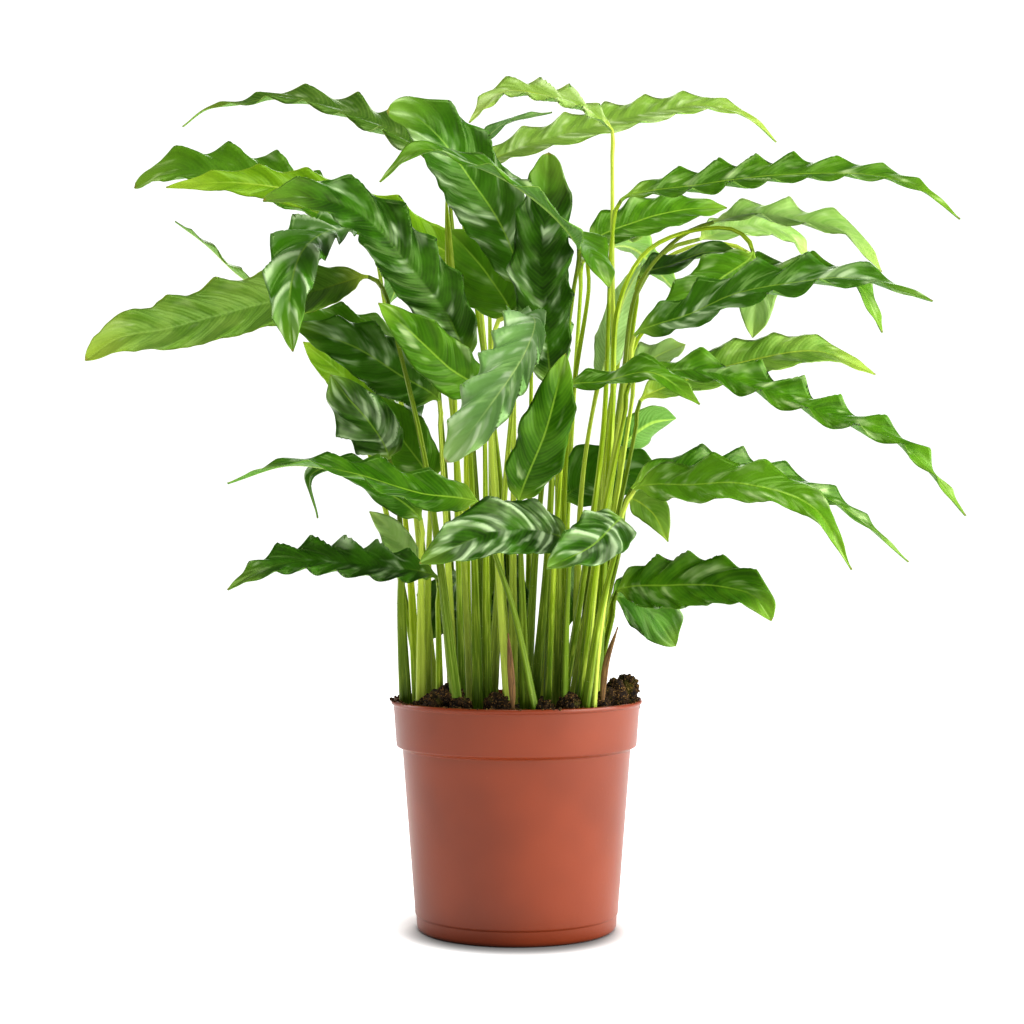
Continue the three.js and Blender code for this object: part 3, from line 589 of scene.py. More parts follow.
@dataclass(frozen=True)
class Peat:
    """Damp potting peat: crumbly, fibrous and nearly black. It gives the eye a dark rough mass with golden
    brown flecks and a few mossy ones."""

    name: str
    dark: str
    brown: str
    fleck: str
    fleck_from: float = 0.66
    moss: str = "5E5A1E"

    def material(self) -> bpy.types.Material:
        """Builds it.

        Returns:
            The material.
        """
        material, tree = start_tree(self.name)
        place = add_node(tree, "ShaderNodeTexCoord")
        spot = {"Vector": place.outputs["Object"]}
        cloud = add_node(tree, NOISE, {"Scale": 260.0, "Detail": 6.0}, spot)
        grain = add_node(tree, NOISE, {"Scale": 1500.0, "Detail": 3.0}, spot)
        broad = add_node(tree, NOISE, {"Scale": 120.0, "Detail": 2.0}, spot)
        share = add_node(tree, STEP, SOFT | {1: 0.35, 2: 0.7}, {0: cloud})
        colour = add_node(tree, MIX, COLOURS | {1: linear(self.dark), 2: linear(self.brown)}, {0: share})
        for span, source, code in (
            ({1: 0.58, 2: 0.7, 4: 0.5}, broad, self.moss),
            ({1: self.fleck_from, 2: self.fleck_from + 0.1, 4: 0.6}, grain, self.fleck),
        ):
            share = add_node(tree, STEP, SOFT | span, {0: source})
            colour = add_node(tree, MIX, COLOURS | {2: linear(code)}, {0: share, 1: colour})
        height = add_node(tree, MATH, {"operation": "MULTIPLY_ADD", 1: 0.5}, {0: grain, 2: cloud})
        bump = add_node(tree, "ShaderNodeBump", {"Strength": 0.9, "Distance": 1.2 * MM}, {"Height": height})
        matt = {"Roughness": 0.85, "Specular IOR Level": 0.2}
        end_tree(tree, {"Base Color": colour, "Normal": bump}, matt)
        return material


@dataclass(frozen=True)
class DrySkin:
    """A dried leaf sheath: papery and brown. It gives the eye a dull fibrous strip with a paler edge."""

    name: str = "dry_sheath"
    dark: str = "44240E"
    light: str = "96743C"

    def material(self) -> bpy.types.Material:
        """Builds it.

        Returns:
            The material.
        """
        material, tree = start_tree(self.name)
        veins, _, _, _ = grown_marks(tree)
        stretch = add_node(tree, "ShaderNodeMapping", {"Scale": (0.05, 5.0, 1.0)}, {"Vector": veins})
        grain = add_node(tree, NOISE, {"Scale": 2.0, "Detail": 4.0}, {"Vector": stretch})
        share = add_node(tree, STEP, SOFT | {1: 0.35, 2: 0.7}, {0: grain})
        colour = add_node(tree, MIX, COLOURS | {1: linear(self.dark), 2: linear(self.light)}, {0: share})
        bump = add_node(tree, "ShaderNodeBump", {"Strength": 0.5, "Distance": 0.4 * MM}, {"Height": grain})
        end_tree(tree, {"Base Color": colour, "Normal": bump}, {"Roughness": 0.7})
        return material


# The fresh, pale and lime greens are partly the young leaves' own colour and partly painted light, for the
# light that shines through backlit leaves.
SKINS = {
    Tint.DEEP: LeafSkin("waxy_deep_leaf", "062000", "1A3E00", "447A0C", "BCD0A4", "86A83A", "508820"),
    Tint.GREEN: LeafSkin(
        "waxy_green_leaf", "1C3E00", "346400", "629218", "BED098", "96B83E", "74A232", painted_gleam_share=0.66
    ),
    Tint.FRESH: LeafSkin(
        "waxy_fresh_leaf", "466A1C", "5E8426", "88A448", "D0DEAE", "B4C244", "A6BE40", 0.4, 0.42, 0.45
    ),
    Tint.PALE: LeafSkin(
        "waxy_pale_leaf", "66903A", "7C9E4C", "9CB472", "CBDCB0", "BCD068", "B5CC6C", 0.42, 0.3, 0.5
    ),
    Tint.LIME: LeafSkin(
        "waxy_lime_leaf", "548000", "6E9A0C", "8EB224", "C0D870", "BCD04A", "B4D040", 0.4, 0.1, 0.5
    ),
}

# The one old leaf whose silvery face is painted sheen: paler greens and many painted gleams stand for the
# light it reflects.
PAINTED_SHEEN_SKIN = LeafSkin(
    "waxy_leaf_painted_sheen", "2E5418", "4C7630", "749A5A", "C4D2B4", "A5BE74", "9CB97A", 0.38, 0.6
)

UNDERSIDES = {
    Tint.DEEP: LeafUnderside("downy_deep_underside", "3E6C1E", "648C42", "8CB04A"),
    Tint.GREEN: LeafUnderside("downy_green_underside", "4E8028", "74A04A", "A2C454"),
    Tint.FRESH: LeafUnderside("downy_fresh_underside", "6A9A36", "8EB85A", "BCD464"),
    Tint.PALE: LeafUnderside("downy_pale_underside", "85AC5C", "AAC684", "C8DA80"),
    Tint.LIME: LeafUnderside("downy_lime_underside", "7CB41C", "9CCB3A", "CCE068"),
}

STALKS = {
    Tint.DEEP: StalkSkin("fleshy_deep_stalk", "706830", "365600", "86A010", "B4C64A"),
    Tint.GREEN: StalkSkin("fleshy_green_stalk", "787238", "426400", "8CA412", "BED052"),
    Tint.FRESH: StalkSkin("fleshy_fresh_stalk", "8C8444", "5A8008", "A0B826", "D0DC6C"),
    Tint.PALE: StalkSkin("fleshy_pale_stalk", "968A52", "688A12", "A8BA34", "D6DE7C"),
    Tint.LIME: StalkSkin("fleshy_lime_stalk", "908E42", "6E960C", "B2C224", "D6E464"),
}


# The plant.

@dataclass(frozen=True)
class Growth:
    """Sizes that every leaf shares, in millimetres or as shares of the blade."""

    stalk_foot: float = 2.1
    stalk_top: float = 0.85
    neck: float = 13.0
    soil_top: float = 107.0
    hole_depth: float = 14.0
    sheath_swell: float = 0.45
    sheath_fade: float = 70.0
    neck_swell: float = 0.28
    ridge: float = 0.05
    groove: float = 0.35
    bow: float = 0.1
    ruffle: float = 0.9
    ragged: float = 0.06
    scallop: float = 0.1
    pleat_pitch: float = 7.5
    pleat: float = 0.5
    vein_angle: float = 36.0
    keel: float = 0.22
    widest: float = 0.55 / 1.35
    swell: float = 0.55
    taper: float = 0.8
    tip_half: float = 0.35
    edge_thickness: float = 0.45
    rib_depth: float = 1.1
    rib_spread: float = 0.9
    row: float = 1.15
    stalk_row: float = 6.0
    across_row: float = 1.3
    hair: float = 0.9
    hair_foot: float = 0.07
    hairs: int = 260


GROWTH = Growth()


def through(points: np.ndarray, steps: int = 200) -> tuple[np.ndarray, np.ndarray]:
    """A smooth curve through points: centripetal Catmull-Rom, whose pace in each span is the square root of
    the span's length, with a mirrored point beyond each end.

    Args:
        points: Places, one a row.
        steps: Samples in a span.

    Returns:
        The sampled places, and at which point number, counted in parts, each one is.
    """
    ends = np.concatenate(([2 * points[0] - points[1]], points, [2 * points[-1] - points[-2]]))
    gap = np.sqrt(np.linalg.norm(np.diff(ends, axis=0), axis=1))[:, None]
    first, start, end, last = ends[:-3], ends[1:-2], ends[2:-1], ends[3:]
    before, own, after = gap[:-2], gap[1:-1], gap[2:]
    leave = ((start - first) / before - (end - first) / (before + own) + (end - start) / own) * own
    reach = ((end - start) / own - (last - start) / (own + after) + (last - end) / after) * own
    t = np.linspace(0.0, 1.0, steps, endpoint=False)[None, :, None]
    start, end, leave, reach = (a[:, None, :] for a in (start, end, leave, reach))
    cubic = (2 * start - 2 * end + leave + reach) * t ** 3
    square = (3 * end - 3 * start - 2 * leave - reach) * t ** 2
    places = (cubic + square + leave * t + start).reshape(-1, 3)
    marks = np.arange(len(places)) / steps
    return np.concatenate((places, points[-1:])), np.append(marks, len(points) - 1.0)


def carried(along: np.ndarray) -> np.ndarray:
    """Side vectors passed along a stem by the smallest turn from one direction to the next.

    Args:
        along: Unit directions, one a station.

    Returns:
        Unit vectors across them, the first as near the front as it can be.
    """
    sides = np.empty_like(along)
    sides[0] = unit(FRONT - along[0] * (FRONT @ along[0]))
    for i in range(1, len(along)):
        before, now, side = along[i - 1], along[i], sides[i - 1]
        turned = side - (before + now) * (side @ now) / (1.0 + before @ now)
        sides[i] = unit(turned - now * (turned @ now))
    return sides


@dataclass
class LeafForm:
    """One leaf as it grew: a stalk out of the peat and a long waved blade, in one closed skin.

    Lengths are in millimetres. The root is where the stalk leaves the peat, the rib runs from the blade's
    base to its tip, bends are extra points on the stalk, and faces say where the upper side looks at the
    blade's base and at its tip. A named skin takes the place of the tint's own finish, slim says how much
    one half narrows near the base, and an added leaf has no CAD node.
    """

    name: str
    tint: Tint
    half: float
    lift: float
    root: tuple[float, float]
    faces: tuple[Vec, Vec]
    rib: tuple[Vec, ...]
    bends: tuple[Vec, ...] = ()
    wave: float = 1.0
    pitch: float = 23.0
    taper: float = 1.0
    # How much shine is painted into the leaf's colour as gleams; it also deepens the pleats.
    painted_shine: float = 0.5
    sheathing: float = 1.0
    # The leaf's tone, drawn at random when not given. A given tone is partly painted light and shade: it
    # lightens some leaves that lie in shade and deepens others to paint the shade on them.
    tone_and_painted_light: float | None = None
    added: bool = False
    skin: str = ""
    slim: float = 0.0

    def spine_points(self) -> np.ndarray:
        """Points that the leaf's centre line goes through: foot in the peat, root, bends and rib.

        Returns:
            The points, one a row.
        """
        rib = np.array(self.rib, dtype=float)
        root = np.array((*self.root, GROWTH.soil_top))
        if self.bends:
            bends = np.array(self.bends, dtype=float)
        else:
            rise = rib[0] - root
            middle = root + 0.5 * rise - GROWTH.bow * rise * np.array((1.0, 1.0, 0.0))
            bends = np.stack((middle, rib[0] - GROWTH.neck * unit(rise)))
        lean = unit((bends[0] if self.bends else rib[0]) - root)
        return np.concatenate(([root - GROWTH.hole_depth * lean, root], bends, rib))

    def stations(self) -> tuple[np.ndarray, np.ndarray, np.ndarray, int]:
        """Rows of the leaf from foot to tip: wide apart on the stalk and close on the blade.

        Returns:
            Places, unit directions, distances from the foot, and which row is the blade's base.
        """
        points = self.spine_points()
        places, marks = through(points)
        run = np.append(0.0, np.cumsum(np.linalg.norm(np.diff(places, axis=0), axis=1)))
        base = np.interp(len(points) - len(self.rib), marks, run)
        stalk_rows = max(6, round(base / GROWTH.stalk_row))
        blade_rows = max(30, round((run[-1] - base) / GROWTH.row))
        blade_at = np.linspace(base, run[-1], blade_rows + 1)
        at = np.append(np.linspace(0.0, base, stalk_rows, endpoint=False), blade_at)
        centre = np.stack([np.interp(at, run, places[:, k]) for k in range(3)], axis=1)
        ahead = np.stack([np.interp(at + 1.0, run, places[:, k]) for k in range(3)], axis=1)
        behind = np.stack([np.interp(at - 1.0, run, places[:, k]) for k in range(3)], axis=1)
        return centre, unit(ahead - behind), at, stalk_rows

    def upper_sides(self, along: np.ndarray, base: int, share: np.ndarray) -> np.ndarray:
        """Where the upper side looks at each row: the carried side turned evenly from the base to the tip.

        Args:
            along: Unit directions.
            base: The row of the blade's base.
            share: Share of the blade's length, 0 on the stalk.

        Returns:
            Unit vectors.
        """
        sides = carried(along)
        turn = []
        for row, face in ((base, self.faces[0]), (-1, self.faces[1])):
            wanted = np.array(face) - along[row] * (np.array(face) @ along[row])
            turn.append(math.atan2(np.cross(sides[row], wanted) @ along[row], sides[row] @ wanted))
        spin = (turn[1] - turn[0] + math.pi) % TURN - math.pi
        angle = (turn[0] + spin * share)[:, None]
        return sides * np.cos(angle) + np.cross(along, sides) * np.sin(angle)

    def outline(self, share: np.ndarray) -> np.ndarray:
        """Half the blade's width: a power of the share to the widest place and another down to the tip."""
        grow = (share / GROWTH.widest) ** GROWTH.swell
        fall = ((1.0 - share) / (1.0 - GROWTH.widest)) ** (GROWTH.taper * self.taper)
        least = GROWTH.stalk_top + (GROWTH.tip_half - GROWTH.stalk_top) * smooth(share / 0.15)
        return np.maximum(self.half * grow * fall, least)

    def relief(
        self, share: np.ndarray, run: np.ndarray, side: np.ndarray, half: np.ndarray, seed: int
    ) -> tuple[np.ndarray, np.ndarray, np.ndarray, np.ndarray]:
        """Height of the blade over its flat: a shallow V, waves that grow towards the edges, pleats between
        the side veins and a furrow over the rib.

        Args:
            share: Share of the blade's length for each row.
            run: Distance from the blade's base for each row.
            side: Place across, from -1 to 1, for each column.
            half: Half width for each row.
            seed: This leaf's own number.

        Returns:
            Height, vein coordinate, crest, which sets how strongly gleams are painted, and how far the
            margin swells out, each rows by columns.
        """
        draw = np.random.default_rng(900 + seed)
        away = np.abs(side)[None, :]
        slope = 1.0 / math.tan(math.radians(GROWTH.vein_angle))
        spots = np.stack(np.broadcast_arrays(run[:, None], 30.0 * np.sign(side)[None, :]), axis=-1)
        wander = lumps(spots, 45.0, 50 + seed)
        vein = run[:, None] + half[:, None] * slope * (1.0 - 0.55 * away - 0.45 * away ** 2)
        length = run[-1]
        waves = round(length / self.pitch)
        pace = TURN * waves / length
        offset = np.where(side > 0, 0.0, draw.uniform(0.3, 0.5) * TURN)[None, :]
        angle = pace * vein + offset + 1.3 * wander * away
        # Sharp crests and round hollows: a sine of half the angle, always positive, turned upside down.
        crisp = 1.27 - 2.0 * np.sqrt(np.sin(0.5 * angle) ** 2 + 0.012)
        vigour = self.wave * (1.0 + 0.45 * lumps(spots, 32.0, 80 + seed))
        ends = smooth(share / 0.15) * smooth((1.0 - share) / 0.12)
        rise = (np.clip(half / self.half, 0.0, 1.0) * ends)[:, None]
        wave = GROWTH.ruffle * self.lift * rise * crisp * vigour * away ** 1.35
        vein = vein + draw.uniform(0.0, GROWTH.pleat_pitch) + 1.9 * wander
        pleat_angle = TURN * vein / GROWTH.pleat_pitch
        plump = np.sin(math.pi * away ** 0.8)
        uneven = 1.0 + 0.6 * lumps(spots, 18.0, 120 + seed)
        depth = GROWTH.pleat * (0.12 + 0.3 * max(self.painted_shine - 0.6, 0.0))
        pleat = depth * rise * np.sin(pleat_angle) * plump * uneven
        keel = GROWTH.keel * half[:, None] * (away ** 1.15 - 0.5)
        furrow = 0.35 * np.exp(-((side[None, :] * half[:, None]) / GROWTH.rib_spread) ** 2)
        # How strongly gleams are painted into the colour, most on the wave crests.
        crest = self.painted_shine * (0.6 + 0.4 * crisp)
        return wave + pleat + keel - furrow, vein, crest, GROWTH.scallop * self.wave * crisp * rise

    def grow(self, seed: int) -> MeshParts:
        """Builds the leaf: rings round the stalk open into the blade's two skins.

        Args:
            seed: This leaf's own number, for its small irregularities.

        Returns:
            The mesh parts: finish 0 is the upper side, 1 the underside, 2 the stalk and 3 the hairs.
        """
        draw = np.random.default_rng(seed)
        centre, along, at, base = self.stations()
        blade_run = np.clip(at - at[base], 0.0, None)
        share = blade_run / blade_run[-1]
        up = self.upper_sides(along, base, share)
        across = np.cross(along, up)
        columns = int(np.clip(round(2.0 * self.half / GROWTH.across_row), 8, 26))
        around = 2 * columns
        step = np.arange(around)
        side = np.where(step <= columns, 1.0 - 2.0 * step / columns, 2.0 * step / columns - 3.0)
        top = np.where((step > 0) & (step < columns), 1.0, np.where(step > columns, -1.0, 0.0))
        theta = TURN * step / around
        half = self.outline(share)
        height, vein, crest, scallop = self.relief(share, blade_run, side, half, seed)
        # Thickness: thin to the margin, with the rib standing out below.
        thin = 0.5 * GROWTH.edge_thickness * np.ones_like(height)
        rib = np.exp(-((side[None, :] * half[:, None]) / GROWTH.rib_spread) ** 2)
        depth = GROWTH.rib_depth * (1.0 - 0.75 * share)[:, None] * rib
        rise = height + np.where(top > 0, thin, np.where(top < 0, -thin - depth, 0.0))
        # Stalk: a fleshy round, wider and flatter where it sheathes at the foot, swollen at the neck.
        stalk_share = np.clip(at / at[base], 0.0, 1.0)
        radius = GROWTH.stalk_foot + (GROWTH.stalk_top - GROWTH.stalk_foot) * stalk_share ** 0.8
        above = np.clip(at - GROWTH.hole_depth, 0.0, None)
        sheath = 1.0 + GROWTH.sheath_swell * self.sheathing * np.exp(-(above / GROWTH.sheath_fade) ** 2)
        to_base = (at[base] - at) / GROWTH.neck
        neck = 1.0 + GROWTH.neck_swell * np.exp(-((to_base - 0.5) * 2.2) ** 2)
        ridge = 1.0 + GROWTH.ridge * np.sin(5.0 * theta + draw.uniform(0.0, 6.0))[None, :]
        wide = (radius * sheath * neck)[:, None] * np.cos(theta)[None, :] * ridge
        tall = (radius * neck)[:, None] * np.sin(theta)[None, :] * ridge
        groove = GROWTH.groove * np.exp(-((theta - math.pi / 2) / 0.35) ** 2)[None, :]
        tall = tall - groove * (radius * neck)[:, None]
        opened = smooth(share / 0.07)[:, None]
        # Each margin has its own small ragged swells.
        edges = stacked(blade_run[:, None], 40.0 * np.sign(side)[None, :])
        ragged = 1.0 + GROWTH.ragged * (lumps(edges, 7.0, 300 + seed) + 0.6 * lumps(edges, 3.2, 400 + seed))
        # One half may stay slim near the base, where the blade turns over.
        slim = 1.0 - self.slim * (1.0 - smooth(share))[:, None] * (side < 0)[None, :]
        blade = side[None, :] * half[:, None] * slim * (ragged + scallop)
        out = opened * blade + (1.0 - opened) * wide
        lift = opened * rise + (1.0 - opened) * tall
        places = centre[:, None, :] + out[..., None] * across[:, None, :] + lift[..., None] * up[:, None, :]
        rings = len(at)
        points = np.concatenate((places.reshape(-1, 3), centre[:1], centre[-1:] + along[-1:] * 0.4))
        row = np.repeat(np.arange(rings - 1), around)
        column = np.tile(step, rings - 1)
        kind = np.where(row < base, 2, np.where(column < columns, 0, 1))
        tone_and_painted_light = draw.uniform(0.0, 1.0) if self.tone_and_painted_light is None else self.tone_and_painted_light
        length_share = np.where(np.arange(rings) < base, stalk_share, share)
        from_rib = np.abs(side)[None, :] * half[:, None] / 20.0
        marks = stacked(crest, tone_and_painted_light, length_share[:, None], from_rib)
        lines = stacked(vein, side[None, :])
        stalk_lines = stacked(at[:, None], np.cos(theta)[None, :])
        lines = np.where((np.arange(rings) < base)[:, None, None], stalk_lines, lines)
        ends = np.array(((0.0, tone_and_painted_light, 0.0, 1.0), (0.0, tone_and_painted_light, 1.0, 1.0)))
        parts = MeshParts().add(
            points,
            closed_faces(rings, around),
            (kind, np.full(around, 2), np.full(around, 1)),
            np.concatenate((lines.reshape(-1, 2), np.zeros((2, 2)))),
            np.concatenate((marks.reshape(-1, 4), ends)),
        )
        self.add_down(parts, places, base, columns, draw)
        return parts

    def add_down(
        self, parts: MeshParts, places: np.ndarray, base: int, columns: int, draw: np.random.Generator
    ) -> None:
        """Stands short hairs on the stalk and the underside, each a closed three-sided sliver.

        Args:
            parts: The mesh that gets them.
            places: The leaf's points, rows by columns.
            base: The row of the blade's base.
            columns: Columns across one side.
            draw: The leaf's own random numbers.
        """
        rings, around, _ = places.shape
        last = rings - (rings - base) // 5
        row = draw.integers(3, last, GROWTH.hairs)
        stalk = row < base
        low = draw.integers(columns, around, GROWTH.hairs)
        column = np.where(stalk, draw.integers(0, around, GROWTH.hairs), low)
        root = places[row, column]
        ahead = unit(places[row + 1, column] - places[row - 1, column])
        beside = places[row, (column + 1) % around] - places[row, (column - 1) % around]
        out = unit(np.cross(ahead, beside) + 1e-9)
        tip = root + (out + 0.5 * ahead) * GROWTH.hair * draw.uniform(0.6, 1.2, (GROWTH.hairs, 1))
        turn = np.array((0.0, 2.0, 4.0)) * math.pi / 3.0
        turned = unit(np.cross(out, ahead))
        wheel = np.cos(turn)[:, None] * ahead[:, None, :] + np.sin(turn)[:, None] * turned[:, None, :]
        feet = root[:, None, :] + GROWTH.hair_foot * wheel - 0.05 * out[:, None, :]
        points = np.concatenate((feet, tip[:, None, :]), axis=1).reshape(-1, 3)
        first = 4 * np.arange(GROWTH.hairs)[:, None, None]
        faces = (first + np.array(((0, 1, 3), (1, 2, 3), (2, 0, 3), (0, 2, 1)))).reshape(-1, 3)
        parts.add(points, (faces,), 3)

    def dress(self, seed: int, finishes: dict[str, Sequence[bpy.types.Material]]) -> bpy.types.Object:
        """Makes the leaf and stands it for its CAD node.

        Args:
            seed: The leaf's own number.
            finishes: The materials of each tint.

        Returns:
            The leaf's object.
        """
        finish = finishes[self.skin or self.tint.value]
        piece = self.grow(seed).make("calathea_" + self.name, finish, self.tint.value)
        if self.added:
            return piece
        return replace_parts(piece, "leaf_" + self.name)


@dataclass
class RolledShoot:
    """A young leaf still rolled into a spear, or a dry sheath, tapering to a point, with the roll's edge
    wound round it. Lengths are in millimetres."""

    node: str
    slot: str
    half: float
    root: tuple[float, float]
    rib: tuple[Vec, ...]
    flat: float = 1.0
    roll: float = 0.18
    winding: float = 0.03
    around: int = 28
    least_blade: float = 0.3
    least_stalk: float = 1.2

    def grow(self) -> MeshParts:
        """Builds it: a round whose radius steps in at the roll's edge, which winds along the shoot.

        Returns:
            The mesh parts, all of one finish.
        """
        facing = (0.0, -1.0, 0.2)
        rise = (np.array(self.rib[0]) - (*self.root, GROWTH.soil_top)) / 2.0
        middle = (self.root[0] + rise[0], self.root[1] + rise[1], GROWTH.soil_top + rise[2])
        form = LeafForm(
            self.node, Tint.FRESH, self.half, 0.0, self.root, (facing, facing), self.rib, (middle,)
        )
        centre, along, at, base = form.stations()
        share = np.clip(at - at[base], 0.0, None) / (at[-1] - at[base])
        up = form.upper_sides(along, base, share)
        across = np.cross(along, up)
        theta = TURN * np.arange(self.around) / self.around
        stalk_share = np.clip(at / at[base], 0.0, 1.0)
        radius = GROWTH.stalk_foot + (GROWTH.stalk_top - GROWTH.stalk_foot) * stalk_share
        blade = np.maximum(form.outline(share), self.least_blade)
        radius = np.where(at > at[base], blade, np.maximum(radius, self.least_stalk))
        wound = (theta[None, :] - at[:, None] * self.winding) % TURN / TURN
        reach = radius[:, None] * (1.0 + self.roll * (wound - 0.5))
        out = reach * np.cos(theta)[None, :]
        lift = reach * np.sin(theta)[None, :] * self.flat
        places = centre[:, None, :] + out[..., None] * across[:, None, :] + lift[..., None] * up[:, None, :]
        points = np.concatenate((places.reshape(-1, 3), centre[:1], centre[-1:] + along[-1:] * 0.4))
        lines = stacked(at[:, None], np.cos(theta)[None, :]).reshape(-1, 2)
        length = np.repeat(at / at[-1], self.around)
        marks = np.stack((length * 0.0, length * 0.0 + 0.3, length, length * 0.0 + 1.0), axis=-1)
        return MeshParts().add(
            points,
            closed_faces(len(at), self.around),
            0,
            np.concatenate((lines, np.zeros((2, 2)))),
            np.concatenate((marks, marks[:2])),
        )

    def dress(self, finish: bpy.types.Material) -> bpy.types.Object:
        """Makes it and stands it for its CAD node.

        Args:
            finish: Its material.

        Returns:
            The object.
        """
        piece = self.grow().make("calathea_" + self.node, (finish,), self.slot)
        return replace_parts(piece, self.node)


# The pot, the peat and the studio.

@dataclass(frozen=True)
class NurseryPot:
    """A moulded round pot with a deep rim band and a small step at the foot. Millimetres."""

    height: float = 110.6
    rim_radius: float = 60.0
    rim_band: float = 22.0
    rim_taper: float = 1.9
    rim_edge: float = 1.2
    lip: float = 0.6
    shoulder_drop: float = 1.6
    body_top_radius: float = 55.2
    base_radius: float = 48.0
    foot_height: float = 8.0
    foot_step: float = 0.8
    base_corner: float = 3.0
    wall: float = 1.4
    floor: float = 2.0
    drain_holes: int = 6
    drain_radius: float = 4.0
    drain_over: float = 2.0
    drain_circle: float = 36.0
    spokes: int = 192

    def rounded(self, corners: Sequence[tuple[float, float, float]], steps: int = 5) -> np.ndarray:
        """A profile with its corners rounded: at each, a quadratic bend between points set back along both
        sides.

        Args:
            corners: Radius, height and set-back of each corner.
            steps: Parts of a bend.

        Returns:
            Radius and height of each profile point.
        """
        places = np.array([c[:2] for c in corners])
        rows = [places[:1]]
        for i in range(1, len(places) - 1):
            back = unit(places[i - 1] - places[i]) * corners[i][2]
            on = unit(places[i + 1] - places[i]) * corners[i][2]
            t = np.linspace(0.0, 1.0, steps)[:, None]
            rows.append(places[i] + back * (1.0 - t) ** 2 + on * t ** 2)
        rows.append(places[-1:])
        return np.concatenate(rows)

    def profile(self) -> np.ndarray:
        """The wall's profile, up the outside, over the lip and down the inside to the floor.

        Returns:
            Radius and height of each point.
        """
        shoulder = self.height - self.rim_band
        foot = self.base_radius + (self.body_top_radius - self.base_radius) * self.foot_height / shoulder
        band = self.rim_radius - self.rim_taper
        corners = (
            (0.0, 0.8, 0.0),
            (self.base_radius - 8.0, 0.8, 0.4),
            (self.base_radius - 6.5, 0.0, 0.5),
            (self.base_radius, 0.0, self.base_corner * 0.8),
            (foot - 0.15, self.foot_height - self.foot_step, 0.3),
            (foot + 0.35, self.foot_height, 0.4),
            (self.body_top_radius, shoulder - self.shoulder_drop, 0.5),
            (band, shoulder, 0.6),
            (self.rim_radius - 0.5, self.height - 2.4, 0.5),
            (self.rim_radius + self.lip, self.height - 1.7, 0.4),
            (self.rim_radius + self.lip, self.height, 0.7),
            (self.rim_radius - self.rim_edge - 0.6, self.height, 0.6),
            (self.rim_radius - self.rim_edge - 0.8, self.height - 3.0, 0.4),
            (band - self.wall, shoulder, 0.5),
            (self.body_top_radius - self.wall, shoulder - self.shoulder_drop - 1.0, 0.5),
            (self.base_radius - self.wall, self.floor, 1.5),
            (0.0, self.floor, 0.0),
        )
        return self.rounded(corners)

    def build(self, finish: bpy.types.Material) -> bpy.types.Object:
        """Turns the profile round the axis and cuts the drain holes.

        Args:
            finish: The plastic.

        Returns:
            The pot.
        """
        profile = self.profile()
        angle = TURN * np.arange(self.spokes) / self.spokes
        radius, height = profile[1:-1, 0][:, None], profile[1:-1, 1][:, None]
        ring = stacked(radius * np.cos(angle), radius * np.sin(angle), height)
        poles = np.array(((0.0, 0.0, profile[0, 1]), (0.0, 0.0, profile[-1, 1])))
        points = np.concatenate((ring.reshape(-1, 3), poles))
        parts = MeshParts().add(points, closed_faces(len(radius), self.spokes, True))
        piece = parts.make("moulded_pot", (finish,), "pot_plastic")
        self.drill(piece)
        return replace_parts(piece, "pot")

    def drill(self, piece: bpy.types.Object) -> None:
        """Cuts a ring of round holes through the floor.

        Args:
            piece: The pot.
        """
        sides = 24
        angle = TURN * np.arange(sides) / sides
        disc = self.drain_radius * stacked(np.cos(angle), np.sin(angle))
        parts = MeshParts()
        levels = (-self.drain_over, self.floor + self.drain_over)
        for hole in range(self.drain_holes):
            turn = TURN * hole / self.drain_holes
            middle = self.drain_circle * np.array((math.cos(turn), math.sin(turn)))
            rings = [np.column_stack((disc + middle, np.full(sides, z))) for z in levels]
            poles = [(*middle, z) for z in levels]
            parts.add(np.concatenate((*rings, poles)), closed_faces(2, sides, True))
        cutter = parts.make("drain_cutter", (), "pot_plastic")
        cut = piece.modifiers.new("drain holes", "BOOLEAN")
        cut.operation = "DIFFERENCE"
        cut.solver = "EXACT"
        cut.object = cutter
        bpy.context.view_layer.update()
        evaluated = piece.evaluated_get(bpy.context.evaluated_depsgraph_get())
        drilled = bpy.data.meshes.new_from_object(evaluated)
        piece.modifiers.clear()
        plain = piece.data
        piece.data = drilled
        drilled.name = "moulded_pot"
        drilled.set_sharp_from_angle(angle=math.radians(40.0))
        bpy.data.objects.remove(cutter)
        bpy.data.meshes.remove(plain)
        log.info("moulded_pot: %d drain holes", self.drain_holes)


